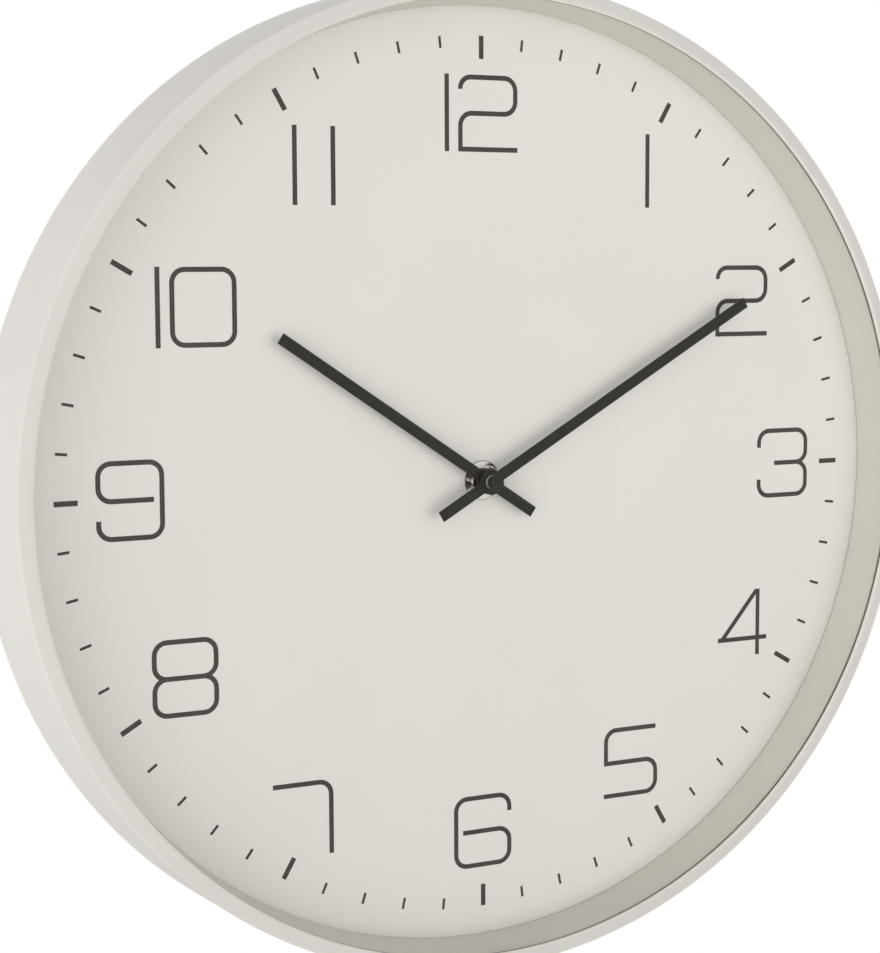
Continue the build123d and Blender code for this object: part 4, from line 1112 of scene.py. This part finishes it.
def studio_world():
    """White backdrop; soft light from all round, strongest from the left and weakest from above."""
    world = bpy.data.worlds.new("studio")
    world.use_nodes = True
    bpy.context.scene.world = world
    tree = world.node_tree
    lit = tree.nodes["Background"]
    lit.inputs["Color"].default_value = SOFT_TONE
    direction = tree.nodes.new("ShaderNodeTexCoord").outputs["Generated"]
    split = tree.nodes.new("ShaderNodeSeparateXYZ")
    tree.links.new(direction, split.inputs[0])
    strength = smooth_step(tree, split.outputs["Y"], *FRONT_BLEND, FRONT_LIGHT, ROUND_LIGHT)
    for share in (
        smooth_step(tree, split.outputs["X"], *SIDE_BLEND, RIGHT_SHARE, LEFT_SHARE),
        smooth_step(tree, split.outputs["Z"], 0, 1, 1, TOP_SHARE),
        smooth_step(tree, split.outputs["Z"], 0, -1, 1, LOW_SHARE),
    ):
        product = tree.nodes.new("ShaderNodeMath")
        product.operation = "MULTIPLY"
        tree.links.new(strength, product.inputs[0])
        tree.links.new(share, product.inputs[1])
        strength = product.outputs[0]
    tree.links.new(strength, lit.inputs["Strength"])
    white = tree.nodes.new("ShaderNodeBackground")
    white.inputs["Color"].default_value = WHITE
    mix = tree.nodes.new("ShaderNodeMixShader")
    tree.links.new(backdrop_share(tree), mix.inputs[0])
    tree.links.new(lit.outputs[0], mix.inputs[1])
    tree.links.new(white.outputs[0], mix.inputs[2])
    tree.links.new(mix.outputs[0], tree.nodes["World Output"].inputs["Surface"])


def studio_floor():
    """Pale round floor under the clock, which keeps its shadow."""
    bm = bmesh.new()
    bmesh.ops.create_circle(bm, cap_ends=True, segments=FLOOR_TURN, radius=FLOOR_RADIUS)
    mesh = meshed("floor", bm)
    floor = bpy.data.objects.new("floor", mesh)
    floor.location.z = FLOOR_HEIGHT
    bpy.context.scene.collection.objects.link(floor)
    paint = bpy.data.materials.new("floor_paint")
    paint.use_nodes = True
    mesh.materials.append(paint)
    tree = paint.node_tree
    matte = tree.nodes["Principled BSDF"]
    matte.inputs["Base Color"].default_value = FLOOR_TONE
    matte.inputs["Roughness"].default_value = FLOOR_ROUGH
    pale = tree.nodes.new("ShaderNodeBsdfDiffuse")
    pale.inputs["Color"].default_value = scaled(WHITE, FLOOR_SHADE)
    glow = tree.nodes.new("ShaderNodeEmission")
    glow.inputs["Strength"].default_value = FLOOR_GLOW
    seen = tree.nodes.new("ShaderNodeAddShader")
    mix = tree.nodes.new("ShaderNodeMixShader")
    tree.links.new(pale.outputs[0], seen.inputs[0])
    tree.links.new(glow.outputs[0], seen.inputs[1])
    tree.links.new(backdrop_share(tree), mix.inputs[0])
    tree.links.new(matte.outputs[0], mix.inputs[1])
    tree.links.new(seen.outputs[0], mix.inputs[2])
    tree.links.new(mix.outputs[0], tree.nodes["Material Output"].inputs["Surface"])


def studio_key():
    """Large soft lamp in front, a little to the right."""
    lamp = bpy.data.lights.new("key", "AREA")
    lamp.shape = "DISK"
    lamp.size = KEY_SIZE
    lamp.energy = KEY_POWER
    key = bpy.data.objects.new("key", lamp)
    key.location = KEY_PLACE
    key.rotation_mode = "QUATERNION"
    key.rotation_quaternion = (-KEY_PLACE).to_track_quat("-Z", "Y")
    key.visible_camera = False
    key.visible_glossy = False
    key.visible_transmission = False
    bpy.context.scene.collection.objects.link(key)


def photo_camera():
    """Camera where the photograph was taken from, close and to the left."""
    camera = bpy.data.cameras.new("camera")
    camera.lens = LENS
    camera.sensor_width = SENSOR
    taken = bpy.data.objects.new("camera", camera)
    turn = Matrix((CAMERA_RIGHT, CAMERA_UP, -CAMERA_FORWARD)).transposed().to_4x4()
    taken.matrix_world = Matrix.Translation(CAMERA_PLACE) @ turn
    bpy.context.scene.collection.objects.link(taken)
    bpy.context.scene.camera = taken


studio_world()
studio_floor()
studio_key()
photo_camera()
bpy.context.scene.view_settings.view_transform = "Standard"
